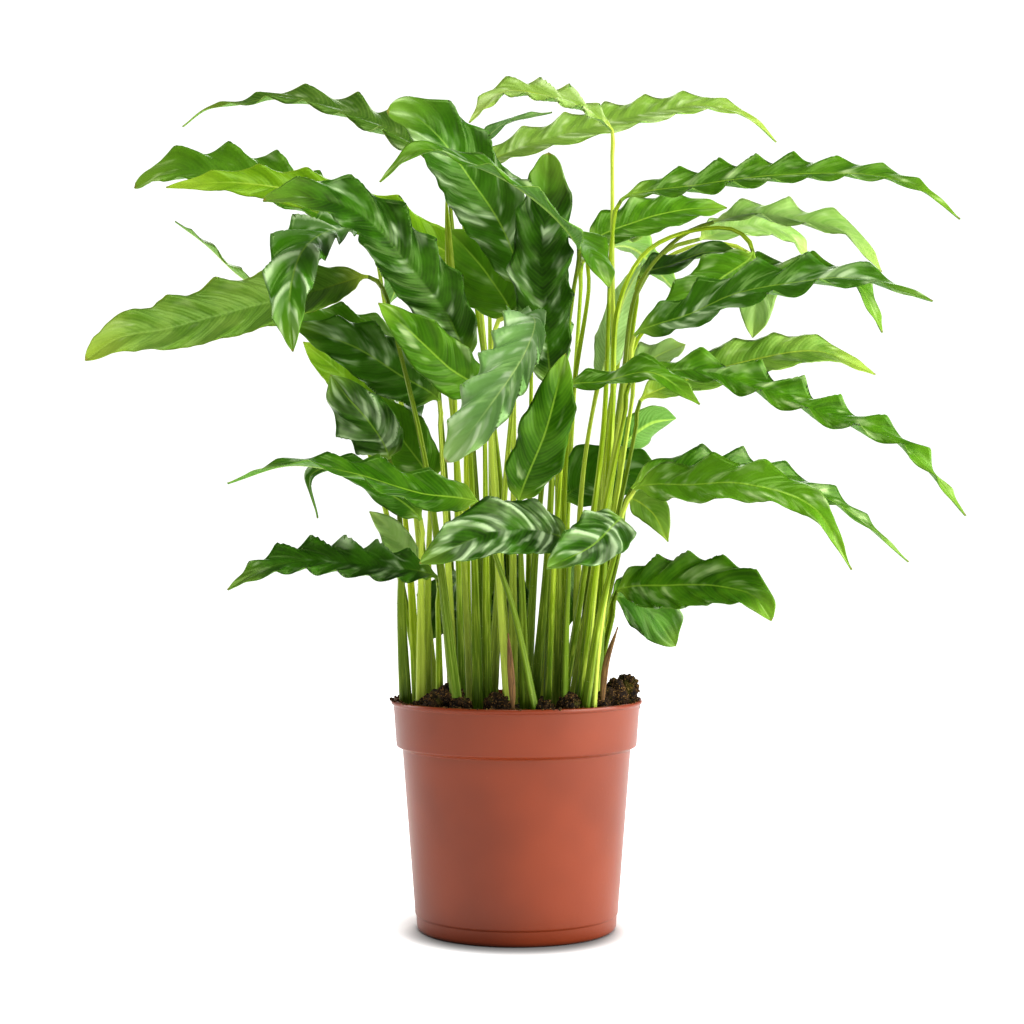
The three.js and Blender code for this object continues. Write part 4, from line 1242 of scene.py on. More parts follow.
@dataclass(frozen=True)
class PeatFill:
    """The peat: a lumpy top with clods above the rim, loose crumbs, and fibres. Millimetres."""

    top: float = 107.0
    radius: float = 58.0
    foot: float = 2.3
    wall: tuple[tuple[float, float], ...] = (
        (57.6, 103.0), (56.2, 90.0), (53.2, 84.0), (46.2, 4.0), (44.5, 2.3), (1.0, 2.3)
    )
    lump: float = 1.1
    brim_lump: float = 0.35
    brim_fade: float = 6.0
    rings: int = 84
    spokes: int = 270
    crumbs: int = 1300
    on_clod: int = 90
    spill: int = 150
    rim_from: float = 58.3
    rim_to: float = 60.6
    rim_top: float = 110.7
    fibres: int = 170
    clods: tuple[tuple[float, float, float, float], ...] = (
        (-37, -34, 111, 6.5),
        (-31, -37, 115, 6),
        (-43, -27, 108, 5.5),
        (46, -18, 112, 7),
        (50, -6, 111, 7.5),
        (53, -8, 117, 5.5),
        (49, 6, 111, 6),
        (44, 22, 108, 7),
        (-47, 17, 107, 6),
        (41, -25, 113, 5.5),
        (38, -32, 110, 5.5),
        (47, -20, 118, 3.5),
        (-26, -42, 110, 5),
        (-9, -46, 111, 6),
        (24, -45, 112, 5),
        (12, -48, 109, 5),
        (33, -30, 112, 6),
    )

    def level(self, x: np.ndarray, y: np.ndarray) -> np.ndarray:
        """Height of the peat: two crossing swells that settle at the wall, with grains of three sizes.

        Args:
            x: Places across.
            y: Places back.

        Returns:
            Heights.
        """
        swell = np.sin(0.31 * x + 1.0) * np.cos(0.27 * y) + 0.6 * np.sin(0.17 * x - 0.43 * y)
        room = np.clip((self.radius - np.hypot(x, y)) / self.brim_fade, 0.0, 1.0)
        spots = np.stack((x, y), axis=-1)
        grain = 0.7 * lumps(spots, 5.0, 11) + 0.45 * lumps(spots, 2.4, 12) + 0.25 * lumps(spots, 1.3, 13)
        return self.top + (self.brim_lump + (self.lump - self.brim_lump) * room) * swell + grain * 0.9

    def body(self) -> MeshParts:
        """The filled mass: rings out over the top, down inside the wall and in under the floor.

        Returns:
            The mesh parts, with the clods grown into it.
        """
        angle = -TURN * np.arange(self.spokes) / self.spokes
        reach = np.linspace(0.6, self.radius, self.rings)[:, None]
        x, y = reach * np.cos(angle), reach * np.sin(angle)
        top = np.stack((x, y, self.level(x, y)), axis=-1)
        edges = np.array(self.wall)
        down = stacked(edges[:, :1] * np.cos(angle), edges[:, :1] * np.sin(angle), edges[:, 1:])
        rings = np.concatenate((top, down))
        poles = np.array(((0.0, 0.0, float(top[0, :, 2].mean())), (0.0, 0.0, self.foot)))
        points = np.concatenate((rings.reshape(-1, 3), poles))
        parts = MeshParts().add(points, closed_faces(len(rings), self.spokes, True))
        for number, (at_x, at_y, at_z, radius) in enumerate(self.clods):
            parts.add(*self.clod(np.array((at_x, at_y, at_z)), radius, 30 + number))
        return parts

    def clod(
        self, centre: np.ndarray, radius: float, seed: int
    ) -> tuple[np.ndarray, tuple[np.ndarray, ...]]:
        """A crumbly lump: a ball whose radius swells and pits with noise of three sizes.

        Args:
            centre: Its middle.
            radius: Its mean radius.
            seed: Its own number.

        Returns:
            Points, and blocks of faces.
        """
        bands, around = 38, 64
        way = ball(np.linspace(0.0, math.pi, bands + 2)[1:-1], around)
        spots = centre + way * radius
        rough = 0.16 * lumps(spots, 4.5, seed) + 0.13 * lumps(spots, 1.9, seed + 100)
        rough = rough + 0.08 * lumps(spots, 0.9, seed + 200)
        points = centre + way * (radius * (1.0 + rough))[:, None]
        return points, closed_faces(bands, around)

    def loose(self, draw: np.random.Generator) -> MeshParts:
        """Loose crumbs on the peat, the clods and the rim: squashed eight-sided lumps.

        Args:
            draw: Seeded random numbers.

        Returns:
            The mesh parts.
        """
        turn = draw.uniform(0.0, TURN, self.crumbs)
        reach = self.radius * np.sqrt(draw.uniform(0.0, 1.0, self.crumbs))
        x, y = reach * np.cos(turn), reach * np.sin(turn)
        spots = np.stack((x, y, self.level(x, y)), axis=-1)
        size = draw.uniform(0.5, 1.7, self.crumbs) ** 1.3
        on_clods = [
            np.array((cx, cy, cz)) + unit(draw.normal(size=(self.on_clod, 3)) + (0.0, -0.3, 0.5)) * r
            for cx, cy, cz, r in self.clods
        ]
        rim_turn = draw.uniform(0.0, TURN, self.spill)
        rim_reach = draw.uniform(self.rim_from, self.rim_to, self.spill)
        on_rim = stacked(rim_reach * np.cos(rim_turn), rim_reach * np.sin(rim_turn), self.rim_top)
        spots = np.concatenate((spots, *on_clods, on_rim))
        small = draw.uniform(0.35, 1.3, self.on_clod * len(self.clods))
        size = np.concatenate((size, small, draw.uniform(0.3, 0.9, self.spill)))
        around = 6
        way = ball(np.array((0.33, 0.67)) * math.pi, around)
        bumpy = draw.uniform(0.7, 1.3, (len(spots), len(way), 1))
        stretch = draw.uniform(0.6, 1.2, (len(spots), 1, 3))
        points = spots[:, None, :] + way[None] * bumpy * stretch * size[:, None, None]
        belt, *ends = closed_faces(2, around)
        faces = np.concatenate((belt[:, :3], belt[:, (0, 2, 3)], *ends))
        shift = len(way) * np.arange(len(spots))[:, None, None]
        return MeshParts().add(points.reshape(-1, 3), ((faces[None] + shift).reshape(-1, 3),))

    def strands(self, draw: np.random.Generator) -> MeshParts:
        """Golden fibres lying in the peat: thin three-sided strands bent once.

        Args:
            draw: Seeded random numbers.

        Returns:
            The mesh parts.
        """
        steps = 7
        turn = draw.uniform(0.0, TURN, self.fibres)
        reach = self.radius * 0.97 * np.sqrt(draw.uniform(0.1, 1.0, self.fibres))
        way = draw.uniform(0.0, TURN, self.fibres)[:, None]
        length = draw.uniform(4.0, 14.0, self.fibres)[:, None]
        bend = draw.normal(0.0, 2.0, self.fibres)[:, None]
        t = np.linspace(-0.5, 0.5, steps)[None, :]
        x = (reach * np.cos(turn))[:, None] + length * t * np.cos(way) - bend * (t * t * 4) * np.sin(way)
        y = (reach * np.sin(turn))[:, None] + length * t * np.sin(way) + bend * (t * t * 4) * np.cos(way)
        hold = np.minimum(1.0, (self.radius - 0.4) / np.hypot(x, y))
        x, y = x * hold, y * hold
        z = self.level(x, y) + 0.5 + draw.uniform(0.0, 1.2, (self.fibres, 1)) * (1.0 - 4.0 * t * t)
        centre = np.stack((x, y, z), axis=-1)
        thick = draw.uniform(0.12, 0.3, (self.fibres, 1, 1)) * (1.0 - 1.4 * t * t)[..., None]
        side = np.stack((-np.sin(way), np.cos(way), 0.0 * way), axis=-1)
        legs = []
        for angle in (0.0, TURN / 3.0, 2.0 * TURN / 3.0):
            legs.append(centre + thick * (math.cos(angle) * side + math.sin(angle) * UP))
        ring = np.stack(legs, axis=2)
        points = np.concatenate((ring.reshape(self.fibres, -1, 3), centre[:, :1], centre[:, -1:]), axis=1)
        shift = points.shape[1] * np.arange(self.fibres)[:, None, None]
        wall, start, end = closed_faces(steps, 3)
        ends = np.concatenate((start, end))
        blocks = ((wall[None] + shift).reshape(-1, 4), (ends[None] + shift).reshape(-1, 3))
        return MeshParts().add(points.reshape(-1, 3), blocks)

    def build(self) -> None:
        """Makes the peat's three pieces."""
        draw = np.random.default_rng(71)
        mass = Peat("potting_peat", "120B07", "33220F", "9A7438", 0.58).material()
        crumb = Peat("peat_crumb", "1C120A", "45301A", "B08A4A", 0.54).material()
        golden = Peat("peat_fibre", "6E4F2A", "A37C44", "C79F5E", 0.5).material()
        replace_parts(self.body().make("peat_fill", (mass,), "peat"), "soil")
        self.loose(draw).make("peat_crumbs", (crumb,), "peat")
        self.strands(draw).make("peat_fibres", (golden,), "peat")


@dataclass(frozen=True)
class Softbox:
    """A soft light aimed at a point. Metres and watts."""

    name: str
    at: Vec
    aim: Vec
    width: float
    height: float
    power: float

    def hang(self) -> None:
        """Places the light, unseen by the camera itself."""
        data = bpy.data.lights.new(self.name, "AREA")
        data.shape = "RECTANGLE"
        data.size = self.width
        data.size_y = self.height
        data.energy = self.power
        lamp = bpy.data.objects.new(self.name, data)
        way = np.array(self.aim) - np.array(self.at)
        lamp.location = self.at
        lamp.rotation_euler = (
            math.atan2(math.hypot(way[0], way[1]), -way[2]), 0.0, math.atan2(-way[0], way[1])
        )
        lamp.visible_camera = False
        bpy.context.scene.collection.objects.link(lamp)


@dataclass(frozen=True)
class Studio:
    """White room, soft lights and the camera in front of the pot.

    Metres, but for the floor's reach, which is in millimetres as all meshes are.
    """

    floor_reach: float = 4000.0
    camera_at: Vec = (-0.0022, -0.970, 0.191)
    rise: float = 0.0105
    lens: float = 70.3
    fill: float = 0.25
    near_glow: float = 0.0
    far_glow: float = 0.9
    glow_cast: float = 0.4
    shadow_from: float = 0.045
    shadow_to: float = 0.085
    contact_forward: float = 0.018
    contact_from: float = 0.035
    contact_to: float = 0.060
    contact_shade: float = 0.2
    floor_shade: float = 0.93
    gamma: float = 0.85
    exposure: float = 0.2
    boxes: tuple[Softbox, ...] = (
        Softbox("softbox_above", (-0.1, -0.7, 1.3), (0.0, 0.0, 0.25), 0.6, 0.5, 10.0),
        Softbox("softbox_right", (1.05, -0.35, 0.45), (0.0, 0.0, 0.2), 1.2, 0.9, 20.0),
        Softbox("softbox_left", (-1.1, 0.45, 0.45), (0.0, 0.0, 0.2), 0.5, 0.9, 5.0),
        Softbox("softbox_behind", (0.2, 1.1, 1.0), (0.0, 0.0, 0.25), 0.8, 0.8, 7.0),
    )

    def build(self) -> None:
        """Makes the floor, the world, the lights and the camera."""
        corners = np.array(((-1, -1), (1, -1), (1, 1), (-1, 1))) * self.floor_reach
        points = np.column_stack((corners, np.zeros(4)))
        mesh = bpy.data.meshes.new("studio_floor")
        mesh.from_pydata((points * MM).tolist(), [], [(0, 1, 2, 3)])
        material, tree = start_tree("pale_studio_floor")
        # The floor's own glow rises away from the pot, so that it stays white where the lamps fall off.
        # Most of it is for the eye alone and throws no light up at the plant.
        place = add_node(tree, "ShaderNodeTexCoord")
        away = add_node(tree, "ShaderNodeVectorMath", {"operation": "LENGTH"}, {0: place.outputs["Object"]})
        span = SOFT | {1: self.shadow_from, 2: self.shadow_to, 3: self.near_glow, 4: self.far_glow}
        glow = add_node(tree, STEP, span, {0: away.outputs["Value"]})
        ray = add_node(tree, "ShaderNodeLightPath")
        seen = add_node(tree, STEP, {3: self.glow_cast, 4: 1.0}, {0: ray.outputs["Is Camera Ray"]})
        glow = add_node(tree, MATH, TIMES, {0: glow, 1: seen})
        # A painted contact shadow: the floor's colour darkens in a narrow line where the pot stands, widest
        # in front.
        spot = {"operation": "DISTANCE", 1: (0.0, -self.contact_forward, 0.0)}
        near = add_node(tree, "ShaderNodeVectorMath", spot, {0: place.outputs["Object"]})
        span = SOFT | {1: self.contact_from, 2: self.contact_to, 3: self.contact_shade, 4: self.floor_shade}
        shade = add_node(tree, STEP, span, {0: near.outputs["Value"]})
        matt = {"Roughness": 0.9, "Specular IOR Level": 0.1, "Emission Color": (1.0, 1.0, 1.0, 1.0)}
        end_tree(tree, {"Base Color": shade, "Emission Strength": glow}, matt)
        mesh.materials.append(material)
        floor = bpy.data.objects.new("studio_floor", mesh)
        bpy.context.scene.collection.objects.link(floor)
        world = bpy.data.worlds.new("white_room")
        world.use_nodes = True
        # White to the eye, and a softer fill as light.
        tree = world.node_tree
        ray = add_node(tree, "ShaderNodeLightPath")
        span = {1: 0.0, 2: 1.0, 3: self.fill, 4: 1.0}
        strength = add_node(tree, "ShaderNodeMapRange", span, {0: ray.outputs["Is Camera Ray"]})
        tree.nodes["Background"].inputs["Color"].default_value = (1.0, 1.0, 1.0, 1.0)
        tree.links.new(strength.outputs[0], tree.nodes["Background"].inputs["Strength"])
        bpy.context.scene.world = world
        for box in self.boxes:
            box.hang()
        data = bpy.data.cameras.new("photo_camera")
        data.sensor_width = 36.0
        data.lens = self.lens
        data.clip_start = 0.01
        data.clip_end = 20.0
        camera = bpy.data.objects.new("photo_camera", data)
        camera.location = self.camera_at
        camera.rotation_euler = (math.pi / 2.0 + self.rise, 0.0, 0.0)
        bpy.context.scene.collection.objects.link(camera)
        bpy.context.scene.camera = camera
        view = bpy.context.scene.view_settings
        view.view_transform = "Standard"
        view.gamma = self.gamma
        view.exposure = self.exposure


LEAVES = (
    LeafForm(
        "left_high_far", Tint.FRESH, half=11, lift=4.5, root=(-14, 24), taper=1.7, tone_and_painted_light=-0.8, painted_shine=0.2,
        faces=((0, -0.4, 1), (-0.1, -0.5, 1)),
        rib=((-35, 46, 375), (-57, 56, 395), (-89, 69, 412), (-121, 80, 421), (-148, 88, 419),
              (-165, 92, 417), (-178, 94, 408)),
    ),
    LeafForm(
        "left_upper", Tint.GREEN, half=16, lift=4, root=(-40, 16), taper=0.6, painted_shine=0.2,
        faces=((0, -0.6, 1), (-0.3, -0.7, 0.8)),
        rib=((-71, 36, 338), (-94, 42, 355), (-127, 52, 372), (-161, 62, 380), (-182, 67, 380),
              (-199, 70, 371)),
    ),
    LeafForm(
        "left_lime", Tint.LIME, half=12, lift=3, root=(-24, 4), tone_and_painted_light=0.3,
        faces=((0, -0.8, 0.8), (0, -1, 0.6)),
        rib=((-25, 10, 321), (-42, 10, 334), (-72, 12, 349), (-107, 14, 360), (-142, 18, 365),
              (-174, 22, 363)),
    ),
    LeafForm(
        "left_broad", Tint.DEEP, half=15, lift=4, root=(-18, -36), taper=0.8, painted_shine=0.5, tone_and_painted_light=0.2,
        pitch=21,
        faces=((-0.2, -1, 0.3), (0, -0.8, 0.8)),
        rib=((-23, -34, 269), (-33, -42, 294), (-48, -52, 313), (-70, -64, 336), (-95, -78, 342),
              (-112, -88, 338)),
    ),
    LeafForm(
        "left_silver", Tint.DEEP, half=14, lift=5, root=(-22, -8), taper=1.0, painted_shine=2.7, tone_and_painted_light=2.0,
        pitch=18,
        faces=((0, -0.5, 1), (-0.25, -1, 0.1)),
        bends=((-29, -8, 231), (-37, -10, 284), (-56, -14, 326)),
        rib=((-73, -21, 335), (-87, -41, 333), (-98, -62, 320), (-102, -76, 297), (-100, -80, 272)),
    ),
    LeafForm(
        "left_long", Tint.FRESH, half=16, lift=3, root=(-27, -42), wave=0.8, taper=0.8, tone_and_painted_light=-0.2,
        painted_shine=0.0,
        faces=((0, -1, 0.6), (0, -1, 0.5)),
        bends=((-42, -44, 222), (-56, -40, 282), (-63, -32, 306)),
        rib=((-70, -26, 312), (-97, -32, 305), (-129, -40, 296), (-162, -48, 286), (-183, -53, 281),
              (-197, -58, 270)),
    ),
    LeafForm(
        "left_edge_on", Tint.FRESH, half=5, lift=3, root=(-46, 24), wave=0.7,
        faces=((0.5, -0.1, 0.85), (0.6, 0, 0.8)),
        rib=((-94, 40, 296), (-142, 66, 325), (-162, 80, 343), (-181, 92, 357)),
    ),
    LeafForm(
        "left_mid_upper", Tint.GREEN, half=12, lift=3, root=(-30, 8), pitch=17,
        faces=((0, -0.7, 0.8), (0, -0.8, 0.7)),
        rib=((-54, -2, 279), (-80, -8, 289), (-106, -12, 293), (-122, -14, 291)),
    ),
    LeafForm(
        "left_mid_dark", Tint.DEEP, half=14, lift=4, root=(-30, -20), pitch=17,
        faces=((-0.1, -1, 0.6), (0, -1, 0.4)),
        rib=((-37, -18, 254), (-55, -24, 266), (-76, -28, 279), (-105, -30, 289)),
    ),
    LeafForm(
        "left_inner", Tint.GREEN, half=12, lift=3, root=(-14, -28),
        faces=((-0.1, -1, 0.5), (0, -1, 0.5)),
        rib=((-15, -38, 255), (-32, -50, 268), (-47, -56, 282), (-63, -58, 296)),
    ),
    LeafForm(
        "left_hanging_dark", Tint.DEEP, half=14, lift=5, root=(-53, -8), painted_shine=1.9, tone_and_painted_light=0.1,
        sheathing=1.6, pitch=15,
        faces=((-0.4, -1, 0.2), (-0.3, -1, 0.1)),
        bends=((-55, -14, 154), (-55, -20, 192)),
        rib=((-60, -28, 226), (-69, -38, 242), (-79, -44, 254), (-86, -46, 264)),
    ),
    LeafForm(
        "left_low_bright", Tint.GREEN, half=12, lift=3, root=(9, -50), taper=1.3, sheathing=0.5,
        tone_and_painted_light=-0.3, painted_shine=0.1,
        faces=((0, -1, 0.8), (0, 0.15, 1)),
        rib=((-17, -60, 204), (-44, -70, 210), (-74, -82, 219), (-100, -92, 222), (-126, -100, 213)),
    ),
    LeafForm(
        "left_low_curl", Tint.DEEP, half=8, lift=3, root=(-45, -26), taper=1.8,
        faces=((0, -1, 0.6), (-1, -0.4, 0.3)),
        rib=((-45, -30, 197), (-61, -34, 211), (-81, -38, 222), (-96, -40, 218), (-93, -40, 198)),
    ),
    LeafForm(
        "left_low_wavy", Tint.DEEP, half=11, lift=4.5, root=(-36, -32), pitch=15, tone_and_painted_light=0.3,
        faces=((0, -0.7, 1), (0, -0.7, 1)),
        rib=((-37, -40, 170), (-67, -52, 177), (-98, -65, 179), (-114, -72, 175), (-129, -78, 166)),
    ),
    LeafForm(
        "left_lime_low", Tint.LIME, half=11, lift=3, root=(-48, 8),
        faces=((0, -0.9, 0.4), (0, -1, 0.4)),
        rib=((-58, 8, 237), (-82, 20, 266), (-107, 34, 287)),
    ),
    LeafForm(
        "left_mid_green", Tint.GREEN, half=13, lift=3, root=(-44, -8), sheathing=1.6,
        faces=((0, -1, 0.3), (0, -1, 0.3)),
        rib=((-41, -12, 215), (-56, -10, 238), (-70, -8, 258)),
    ),
    LeafForm(
        "centre_broad", Tint.DEEP, half=17, lift=5, root=(-12, -14), taper=0.6, wave=0.7,
        painted_shine=1.1, tone_and_painted_light=0.8,
        faces=((-0.1, -1, 0.3), (-0.2, -0.9, 0.6)),
        rib=((3, -22, 306), (-6, -28, 334), (-21, -36, 357), (-36, -44, 376), (-47, -47, 384),
              (-60, -48, 386)),
    ),
    LeafForm(
        "centre_over", Tint.GREEN, half=9, lift=3, root=(8, -18), painted_shine=1.5,
        faces=((0.2, -0.5, 1), (-0.3, -0.8, 0.6)),
        bends=((14, -16, 169), (19, -14, 245), (27, -22, 306)),
        rib=((29, -38, 324), (19, -58, 336), (-1, -63, 351), (-21, -64, 360), (-44, -66, 365),
              (-62, -68, 350)),
    ),
    LeafForm(
        "centre_triangle", Tint.GREEN, half=10, lift=3, root=(20, 1),
        faces=((0.3, -0.3, 1), (0.5, -1, 0.2)),
        bends=((20, 0, 231), (19, 0, 289)),
        rib=((24, -6, 337), (34, -26, 327), (43, -44, 305)),
    ),
    LeafForm(
        "centre_upright", Tint.DEEP, half=13.5, lift=4, root=(4, -30), taper=0.65, painted_shine=0.9, tone_and_painted_light=0.0,
        faces=((0, -1, 0.1), (0, -1, -0.2)),
        rib=((16, -38, 257), (13, -42, 289), (11, -42, 320), (14, -39, 348), (15, -36, 369)),
    ),
    LeafForm(
        "centre_silver", Tint.DEEP, half=14.5, lift=5, root=(-4, -44), skin="silver", taper=0.7,
        painted_shine=2.2, sheathing=0.4, pitch=15, slim=0.8, tone_and_painted_light=1.4,
        faces=((0.2, -0.3, 1), (-0.2, -1, 0.5)),
        bends=((-12, -50, 243), (-11, -50, 277), (-9, -52, 288)),
        rib=((-4, -56, 290), (8, -76, 288), (3, -94, 270), (-12, -102, 247), (-31, -100, 222)),
    ),
    # Its lowered tone paints the shade that lies on this leaf.
    LeafForm(
        "centre_low_green", Tint.GREEN, half=12, lift=3, root=(4, -42), tone_and_painted_light=-0.5, painted_shine=0.1,
        faces=((0, -1, 0.1), (0, -1, 0)),
        rib=((1, -58, 205), (13, -70, 237), (22, -68, 272)),
    ),
    LeafForm(
        "centre_back", Tint.GREEN, half=17, lift=3, root=(-2, -2), tone_and_painted_light=0.9, painted_shine=0.1,
        faces=((0, -1, 0.3), (0, -1, 0.2)),
        rib=((-1, -4, 294), (-14, 0, 317), (-33, 4, 339)),
    ),
    LeafForm(
        "centre_front", Tint.DEEP, half=15, lift=4, root=(22, -44), painted_shine=2.5, tone_and_painted_light=0.0, wave=0.6,
        faces=((0, -0.8, 0.9), (0, -1, 0.7)),
        rib=((24, -66, 187), (-7, -88, 193), (-42, -108, 178)),
    ),
    LeafForm(
        "centre_front_right", Tint.DEEP, half=13, lift=4, root=(31, -44), painted_shine=2.4, tone_and_painted_light=0.2, wave=0.7,
        faces=((0.1, -0.8, 0.9), (-0.2, -1, 0.6)),
        rib=((48, -58, 197), (33, -86, 186), (13, -106, 176)),
    ),
    LeafForm(
        "top_arch", Tint.FRESH, half=9, lift=3.2, root=(27, 6), painted_shine=2.8, pitch=15, tone_and_painted_light=1.7,
        faces=((0, -0.3, 1), (-0.5, -0.8, 0.4)),
        bends=((46, 6, 236), (47, 8, 329), (47, 9, 378)),
        rib=((47, 8, 388), (34, 6, 399), (15, 2, 405), (-7, 0, 406), (-23, -4, 390)),
    ),
    LeafForm(
        "top_long", Tint.FRESH, half=11, lift=4, root=(-4, 26), wave=0.6, painted_shine=2.0, tone_and_painted_light=0.9,
        faces=((0, -0.6, 1), (0.2, -0.6, 0.9)),
        rib=((-24, 34, 371), (2, 36, 386), (32, 42, 396), (66, 54, 407), (99, 67, 414),
              (122, 75, 409), (137, 80, 397)),
    ),
    LeafForm(
        "top_thin", Tint.DEEP, half=4, lift=2, root=(2, 38), skin="silver",
        faces=((0, -0.5, 0.9), (0, -0.5, 1)),
        rib=((-30, 56, 372), (-8, 52, 400), (18, 48, 406)),
    ),
    LeafForm(
        "right_high", Tint.GREEN, half=12, lift=4, root=(22, -16), taper=1.3, wave=0.8, pitch=19,
        painted_shine=0.7, tone_and_painted_light=0.4,
        faces=((0, -0.7, 1), (0.2, -0.7, 0.9)),
        bends=((41, -14, 235), (44, -12, 293), (46, -10, 334)),
        rib=((50, -16, 350), (87, -26, 357), (128, -36, 360), (168, -46, 357), (187, -52, 349),
              (203, -56, 335)),
    ),
    LeafForm(
        "right_upper", Tint.GREEN, half=12, lift=3, root=(24, 18),
        faces=((0, -0.9, 0.6), (0, -0.9, 0.6)),
        bends=((24, 18, 222), (29, 20, 267), (36, 24, 312)),
        rib=((37, 26, 335), (62, 34, 349), (86, 44, 356), (108, 54, 358)),
    ),
    LeafForm(
        "right_pale_arch", Tint.FRESH, half=10, lift=3, root=(32, -13), skin="leaf_pale", tone_and_painted_light=0.0,
        faces=((0, -0.6, 1), (0.5, -0.8, 0.6)),
        bends=((51, -10, 264), (59, -9, 310), (79, -6, 334)),
        rib=((95, -7, 341), (113, -8, 346), (136, -8, 343), (159, -8, 337), (176, -8, 317)),
    ),
    LeafForm(
        "right_pale_back", Tint.PALE, half=10, lift=3, root=(30, 26),
        faces=((0, -0.7, 0.8), (0.3, -0.8, 0.6)),
        bends=((49, 28, 267), (59, 30, 308), (76, 32, 333)),
        rib=((92, 36, 339), (117, 50, 349), (142, 64, 346), (154, 72, 331)),
    ),
    LeafForm(
        "right_dark_small", Tint.DEEP, half=8, lift=3, root=(36, 0),
        faces=((0, -0.6, 0.9), (0.2, -0.6, 0.9)),
        rib=((60, 3, 316), (76, 5, 323), (94, 6, 329), (111, 4, 327)),
    ),
    LeafForm(
        "right_drooping", Tint.GREEN, half=12, lift=4, root=(37, -27), painted_shine=1.2,
        faces=((0.2, -0.8, 0.7), (0.2, -1, 0.5)),
        bends=((45, -26, 244), (49, -22, 301), (63, -18, 326), (87, -16, 336), (105, -18, 335)),
        rib=((112, -24, 324), (97, -29, 312), (79, -31, 299), (63, -30, 289)),
    ),
    LeafForm(
        "right_twisted", Tint.DEEP, half=13, lift=5, root=(30, -28), painted_shine=1.6, tone_and_painted_light=1.2,
        faces=((0, -0.7, 0.8), (0.2, -0.5, 1)),
        rib=((55, -38, 283), (80, -50, 293), (99, -60, 301), (123, -68, 305), (151, -76, 306),
              (184, -86, 294)),
    ),
    LeafForm(
        "right_hooked", Tint.GREEN, half=12, lift=4, root=(30, -5), painted_shine=1.2,
        faces=((0, -0.7, 0.9), (0.8, -0.7, 0.3)),
        bends=((51, -4, 246), (60, -5, 287)),
        rib=((83, -9, 302), (109, -13, 314), (135, -17, 316), (161, -22, 311), (173, -26, 286)),
    ),
    LeafForm(
        "right_pale_tip", Tint.PALE, half=11, lift=2, root=(33, 16),
        faces=((0.4, -0.9, 0.4), (0.1, -1, 0.1)),
        bends=((49, 22, 267), (61, 22, 316), (91, 20, 334)),
        rib=((114, 18, 330), (118, 14, 313), (116, 10, 287)),
    ),
    LeafForm(
        "right_mid_light", Tint.FRESH, half=12, lift=3, root=(36, -4), wave=0.7, sheathing=0.2, tone_and_painted_light=0.0,
        faces=((0, -0.8, 0.7), (0.1, -0.8, 0.7)),
        rib=((60, 0, 255), (90, 10, 269), (118, 22, 278), (153, 36, 283), (183, 48, 272)),
    ),
    LeafForm(
        "right_long_wavy", Tint.GREEN, half=10, lift=5, root=(28, -38), painted_shine=1.0,
        faces=((0, -0.7, 1), (0.5, -0.5, 0.8)),
        rib=((52, -52, 260), (79, -58, 266), (110, -64, 258), (141, -70, 245), (173, -76, 231),
              (199, -84, 199)),
    ),
    LeafForm(
        "right_strip", Tint.GREEN, half=8, lift=3, root=(14, -36),
        faces=((0, -0.5, 1), (0.2, -0.9, 0.6)),
        rib=((23, -50, 258), (40, -58, 261), (61, -68, 264), (82, -74, 249)),
    ),
    # Its raised tone paints light on a leaf that lies in shade.
    LeafForm(
        "right_shadow", Tint.DEEP, half=16, lift=3, root=(12, 38), tone_and_painted_light=1.2, painted_shine=0.1,
        faces=((0, -1, 0.3), (0, -1, 0.4)),
        rib=((23, 40, 207), (46, 41, 222), (75, 40, 219)),
    ),
    LeafForm(
        "right_low_bright", Tint.GREEN, half=12, lift=4, root=(35, -40), sheathing=0.3, taper=1.5,
        painted_shine=1.4, tone_and_painted_light=1.5,
        faces=((0, -0.7, 0.8), (0.2, -1, 0.6)),
        bends=((38, -40, 141), (44.5, -39, 178)),
        rib=((55, -40, 211), (80, -52, 214), (103, -66, 214), (132, -78, 203), (148, -86, 175)),
    ),
    LeafForm(
        "right_low_wavy", Tint.GREEN, half=11, lift=4, root=(36, -22), taper=1.4, painted_shine=1.2,
        sheathing=0.3, tone_and_painted_light=-0.5,
        faces=((0, -0.6, 1), (0.5, -0.6, 0.8)),
        bends=((41, -20, 150), (49, -17, 183)),
        rib=((55, -14, 212), (83, -8, 223), (119, 2, 220), (160, 14, 205), (195, 24, 177)),
    ),
    LeafForm(
        "right_low_small", Tint.FRESH, half=8, lift=2, root=(37, 18), taper=1.2, sheathing=0.2,
        faces=((0.3, -1, 0.5), (0.5, -1, 0.1)),
        bends=((43, 20, 148), (48, 22, 178)),
        rib=((55, 24, 208), (67, 22, 202), (75, 18, 187)),
    ),
    LeafForm(
        "right_bottom", Tint.GREEN, half=14, lift=3.5, root=(38, -13), sheathing=0.2, painted_shine=0.9,
        tone_and_painted_light=0.1, taper=0.8, wave=1.0, pitch=15,
        faces=((0, -0.9, 0.7), (0.3, -0.8, 0.6)),
        rib=((48, -14, 163), (71, -28, 167), (95, -40, 167), (110, -48, 162), (117, -52, 151)),
    ),
    LeafForm(
        "right_bottom_dark", Tint.DEEP, half=16, lift=4, root=(37, 0), sheathing=0.2,
        faces=((0.2, -1, 0.6), (0.2, -1, 0.3)),
        rib=((47, 6, 160), (65, 14, 154), (79, 22, 135)),
    ),
    LeafForm(
        "back_high_left", Tint.GREEN, half=13, lift=4, root=(-30, 34),
        faces=((0.2, -0.5, 0.9), (-0.2, 0.6, 0.8)),
        rib=((-44, 58, 318), (-56, 94, 338), (-70, 132, 318)),
    ),
    LeafForm(
        "back_high", Tint.DEEP, half=14, lift=4, root=(-12, 44),
        faces=((0, -0.5, 0.9), (0, 0.6, 0.8)),
        rib=((-14, 66, 338), (-10, 110, 362), (-6, 156, 340)),
    ),
    LeafForm(
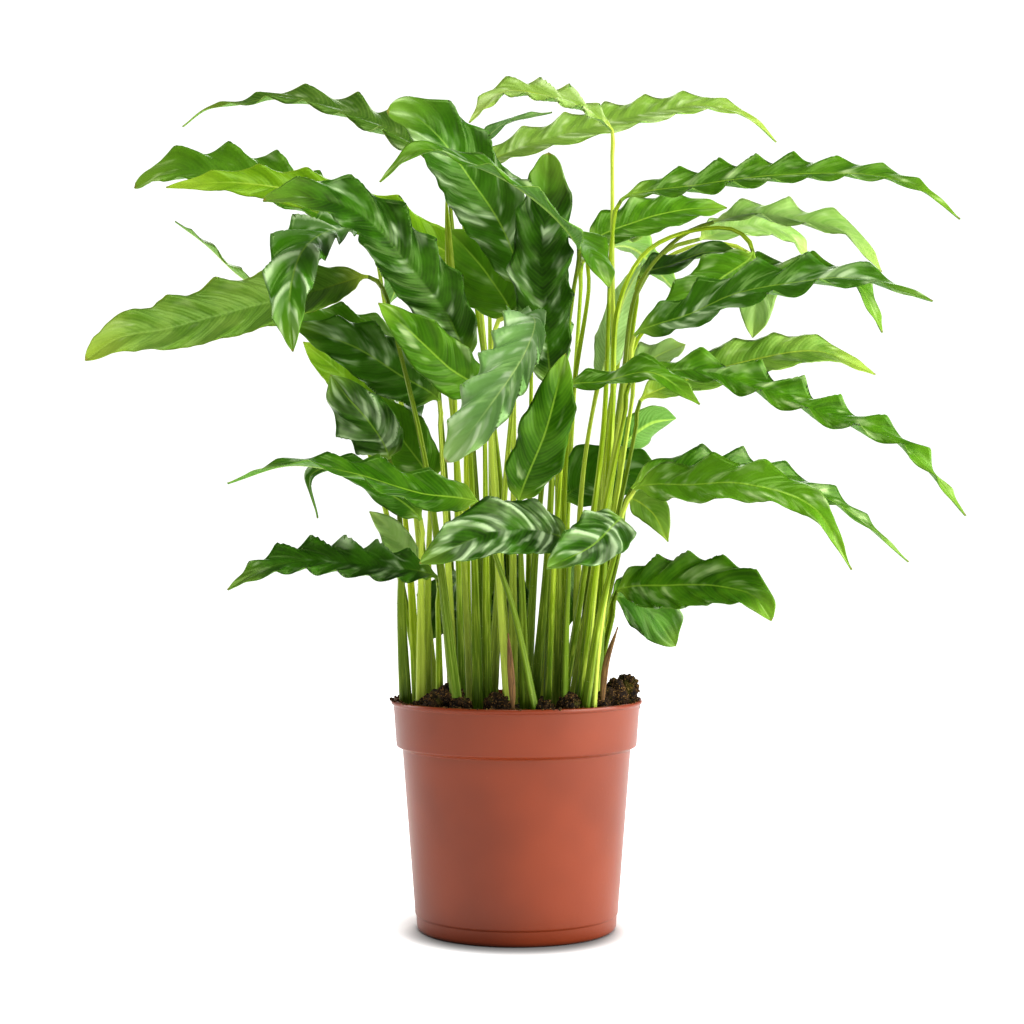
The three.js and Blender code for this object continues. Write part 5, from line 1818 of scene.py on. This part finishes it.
        "back_middle", Tint.GREEN, half=14, lift=4, root=(6, 46),
        faces=((-0.1, -0.5, 0.9), (0.1, 0.6, 0.8)),
        rib=((8, 72, 290), (16, 116, 308), (24, 160, 276)),
    ),
    LeafForm(
        "back_high_right", Tint.FRESH, half=12, lift=3, root=(22, 40),
        faces=((-0.3, -0.4, 0.9), (0.4, 0.5, 0.8)),
        rib=((34, 62, 330), (60, 98, 346), (92, 134, 322)),
    ),
    LeafForm(
        "right_pale_low", Tint.PALE, half=10, lift=3, root=(36, 26), skin="leaf_green", tone_and_painted_light=0.9,
        faces=((0.2, 0.8, 0.6), (0.3, 0.8, 0.6)),
        rib=((53, 27, 234), (66, 30, 246), (80, 36, 249)),
    ),
    LeafForm(
        "back_left", Tint.DEEP, half=13, lift=4, root=(-42, 30),
        faces=((0.2, -0.5, 0.9), (-0.2, 0.6, 0.8)),
        rib=((-54, 54, 246), (-66, 94, 262), (-78, 134, 228)),
    ),
    LeafForm(
        "left_small_silver", Tint.PALE, half=7, lift=4, root=(-46, -17), pitch=14, painted_shine=1.6,
        faces=((-0.5, -1, 0.3), (-0.3, -1, 0.4)),
        rib=((-46, -20, 172), (-54, -23, 184), (-61, -27, 194), (-69, -30, 201)),
    ),
    LeafForm(
        "right_pale_inner", Tint.PALE, half=8, lift=2, root=(30, 11),
        faces=((0, 0.9, 0.4), (0.2, 0.9, 0.3)),
        bends=((30, 12, 168), (33, 13, 222)),
        rib=((41, 14, 267), (47, 14, 286), (53, 14, 306), (62, 13, 324)),
    ),
    LeafForm(
        "right_lime_small", Tint.LIME, half=9, lift=3, root=(39, 12), sheathing=0.2, skin="leaf_pale",
        tone_and_painted_light=1.2,
        faces=((-0.2, -0.9, 0.7), (0, -0.9, 0.7)),
        rib=((59, 20, 271), (72, 28, 281), (85, 36, 286)),
    ),
)

SHOOTS = (
    RolledShoot(
        "shoot_left", "shoot", 2.4, (-26, -16), ((-30, -14, 270), (-32, -12, 318), (-34, -10, 354))
    ),
)

SHEATHS = (
    RolledShoot(
        "sheath_right", "dry_sheath", 1.5, (41, -33),
        ((40, -36, 110), (41.5, -37, 130), (47, -38, 147)), 0.6, 0.4,
    ),
    RolledShoot(
        "sheath_middle", "dry_sheath", 1.6, (-3, -51),
        ((-2, -53, 110), (-3, -54, 130), (-4, -54, 145)), 0.4, 0.4,
    ),
)

# Low leaves, added, that show dark between the stalks: partly painted shade, for the shade that lies there.
LOW_LEAVES = (
    LeafForm(
        "low_left", Tint.DEEP, half=12, lift=3, root=(-22, 20), tone_and_painted_light=0.0, added=True,
        faces=((0, -1, 0.2), (0, -1, 0.2)),
        rib=((-28, 24, 168), (-36, 30, 160), (-42, 34, 138)),
    ),
    LeafForm(
        "low_middle", Tint.DEEP, half=14, lift=3, root=(-12, 30), tone_and_painted_light=0.0, added=True,
        faces=((0, -1, 0.2), (0, -1, 0.2)),
        rib=((-8, 34, 186), (-4, 40, 166), (-2, 42, 128)),
    ),
    LeafForm(
        "low_right", Tint.DEEP, half=13, lift=3, root=(16, 30), tone_and_painted_light=0.0, added=True,
        faces=((0, -1, 0.2), (0, -1, 0.2)),
        rib=((18, 34, 196), (22, 40, 172), (23, 42, 140)),
    ),
)


def main() -> None:
    """Builds the plant in order."""
    logging.basicConfig(level=logging.INFO, format="%(name)s %(message)s")
    Studio().build()
    NurseryPot().build(MouldedPlastic().material())
    PeatFill().build()
    down = Down().material()
    finishes = {
        tint.value: (SKINS[tint].material(), UNDERSIDES[tint].material(), STALKS[tint].material(), down)
        for tint in Tint
    }
    finishes["silver"] = (PAINTED_SHEEN_SKIN.material(), *finishes["leaf_deep"][1:])
    for seed, leaf in enumerate(LEAVES + LOW_LEAVES):
        leaf.dress(seed, finishes)
    for shoot in SHOOTS:
        shoot.dress(finishes["leaf_fresh"][2])
    dry = DrySkin().material()
    for sheath in SHEATHS:
        sheath.dress(dry)
    bpy.context.view_layer.update()


if __name__ == "__main__":
    main()
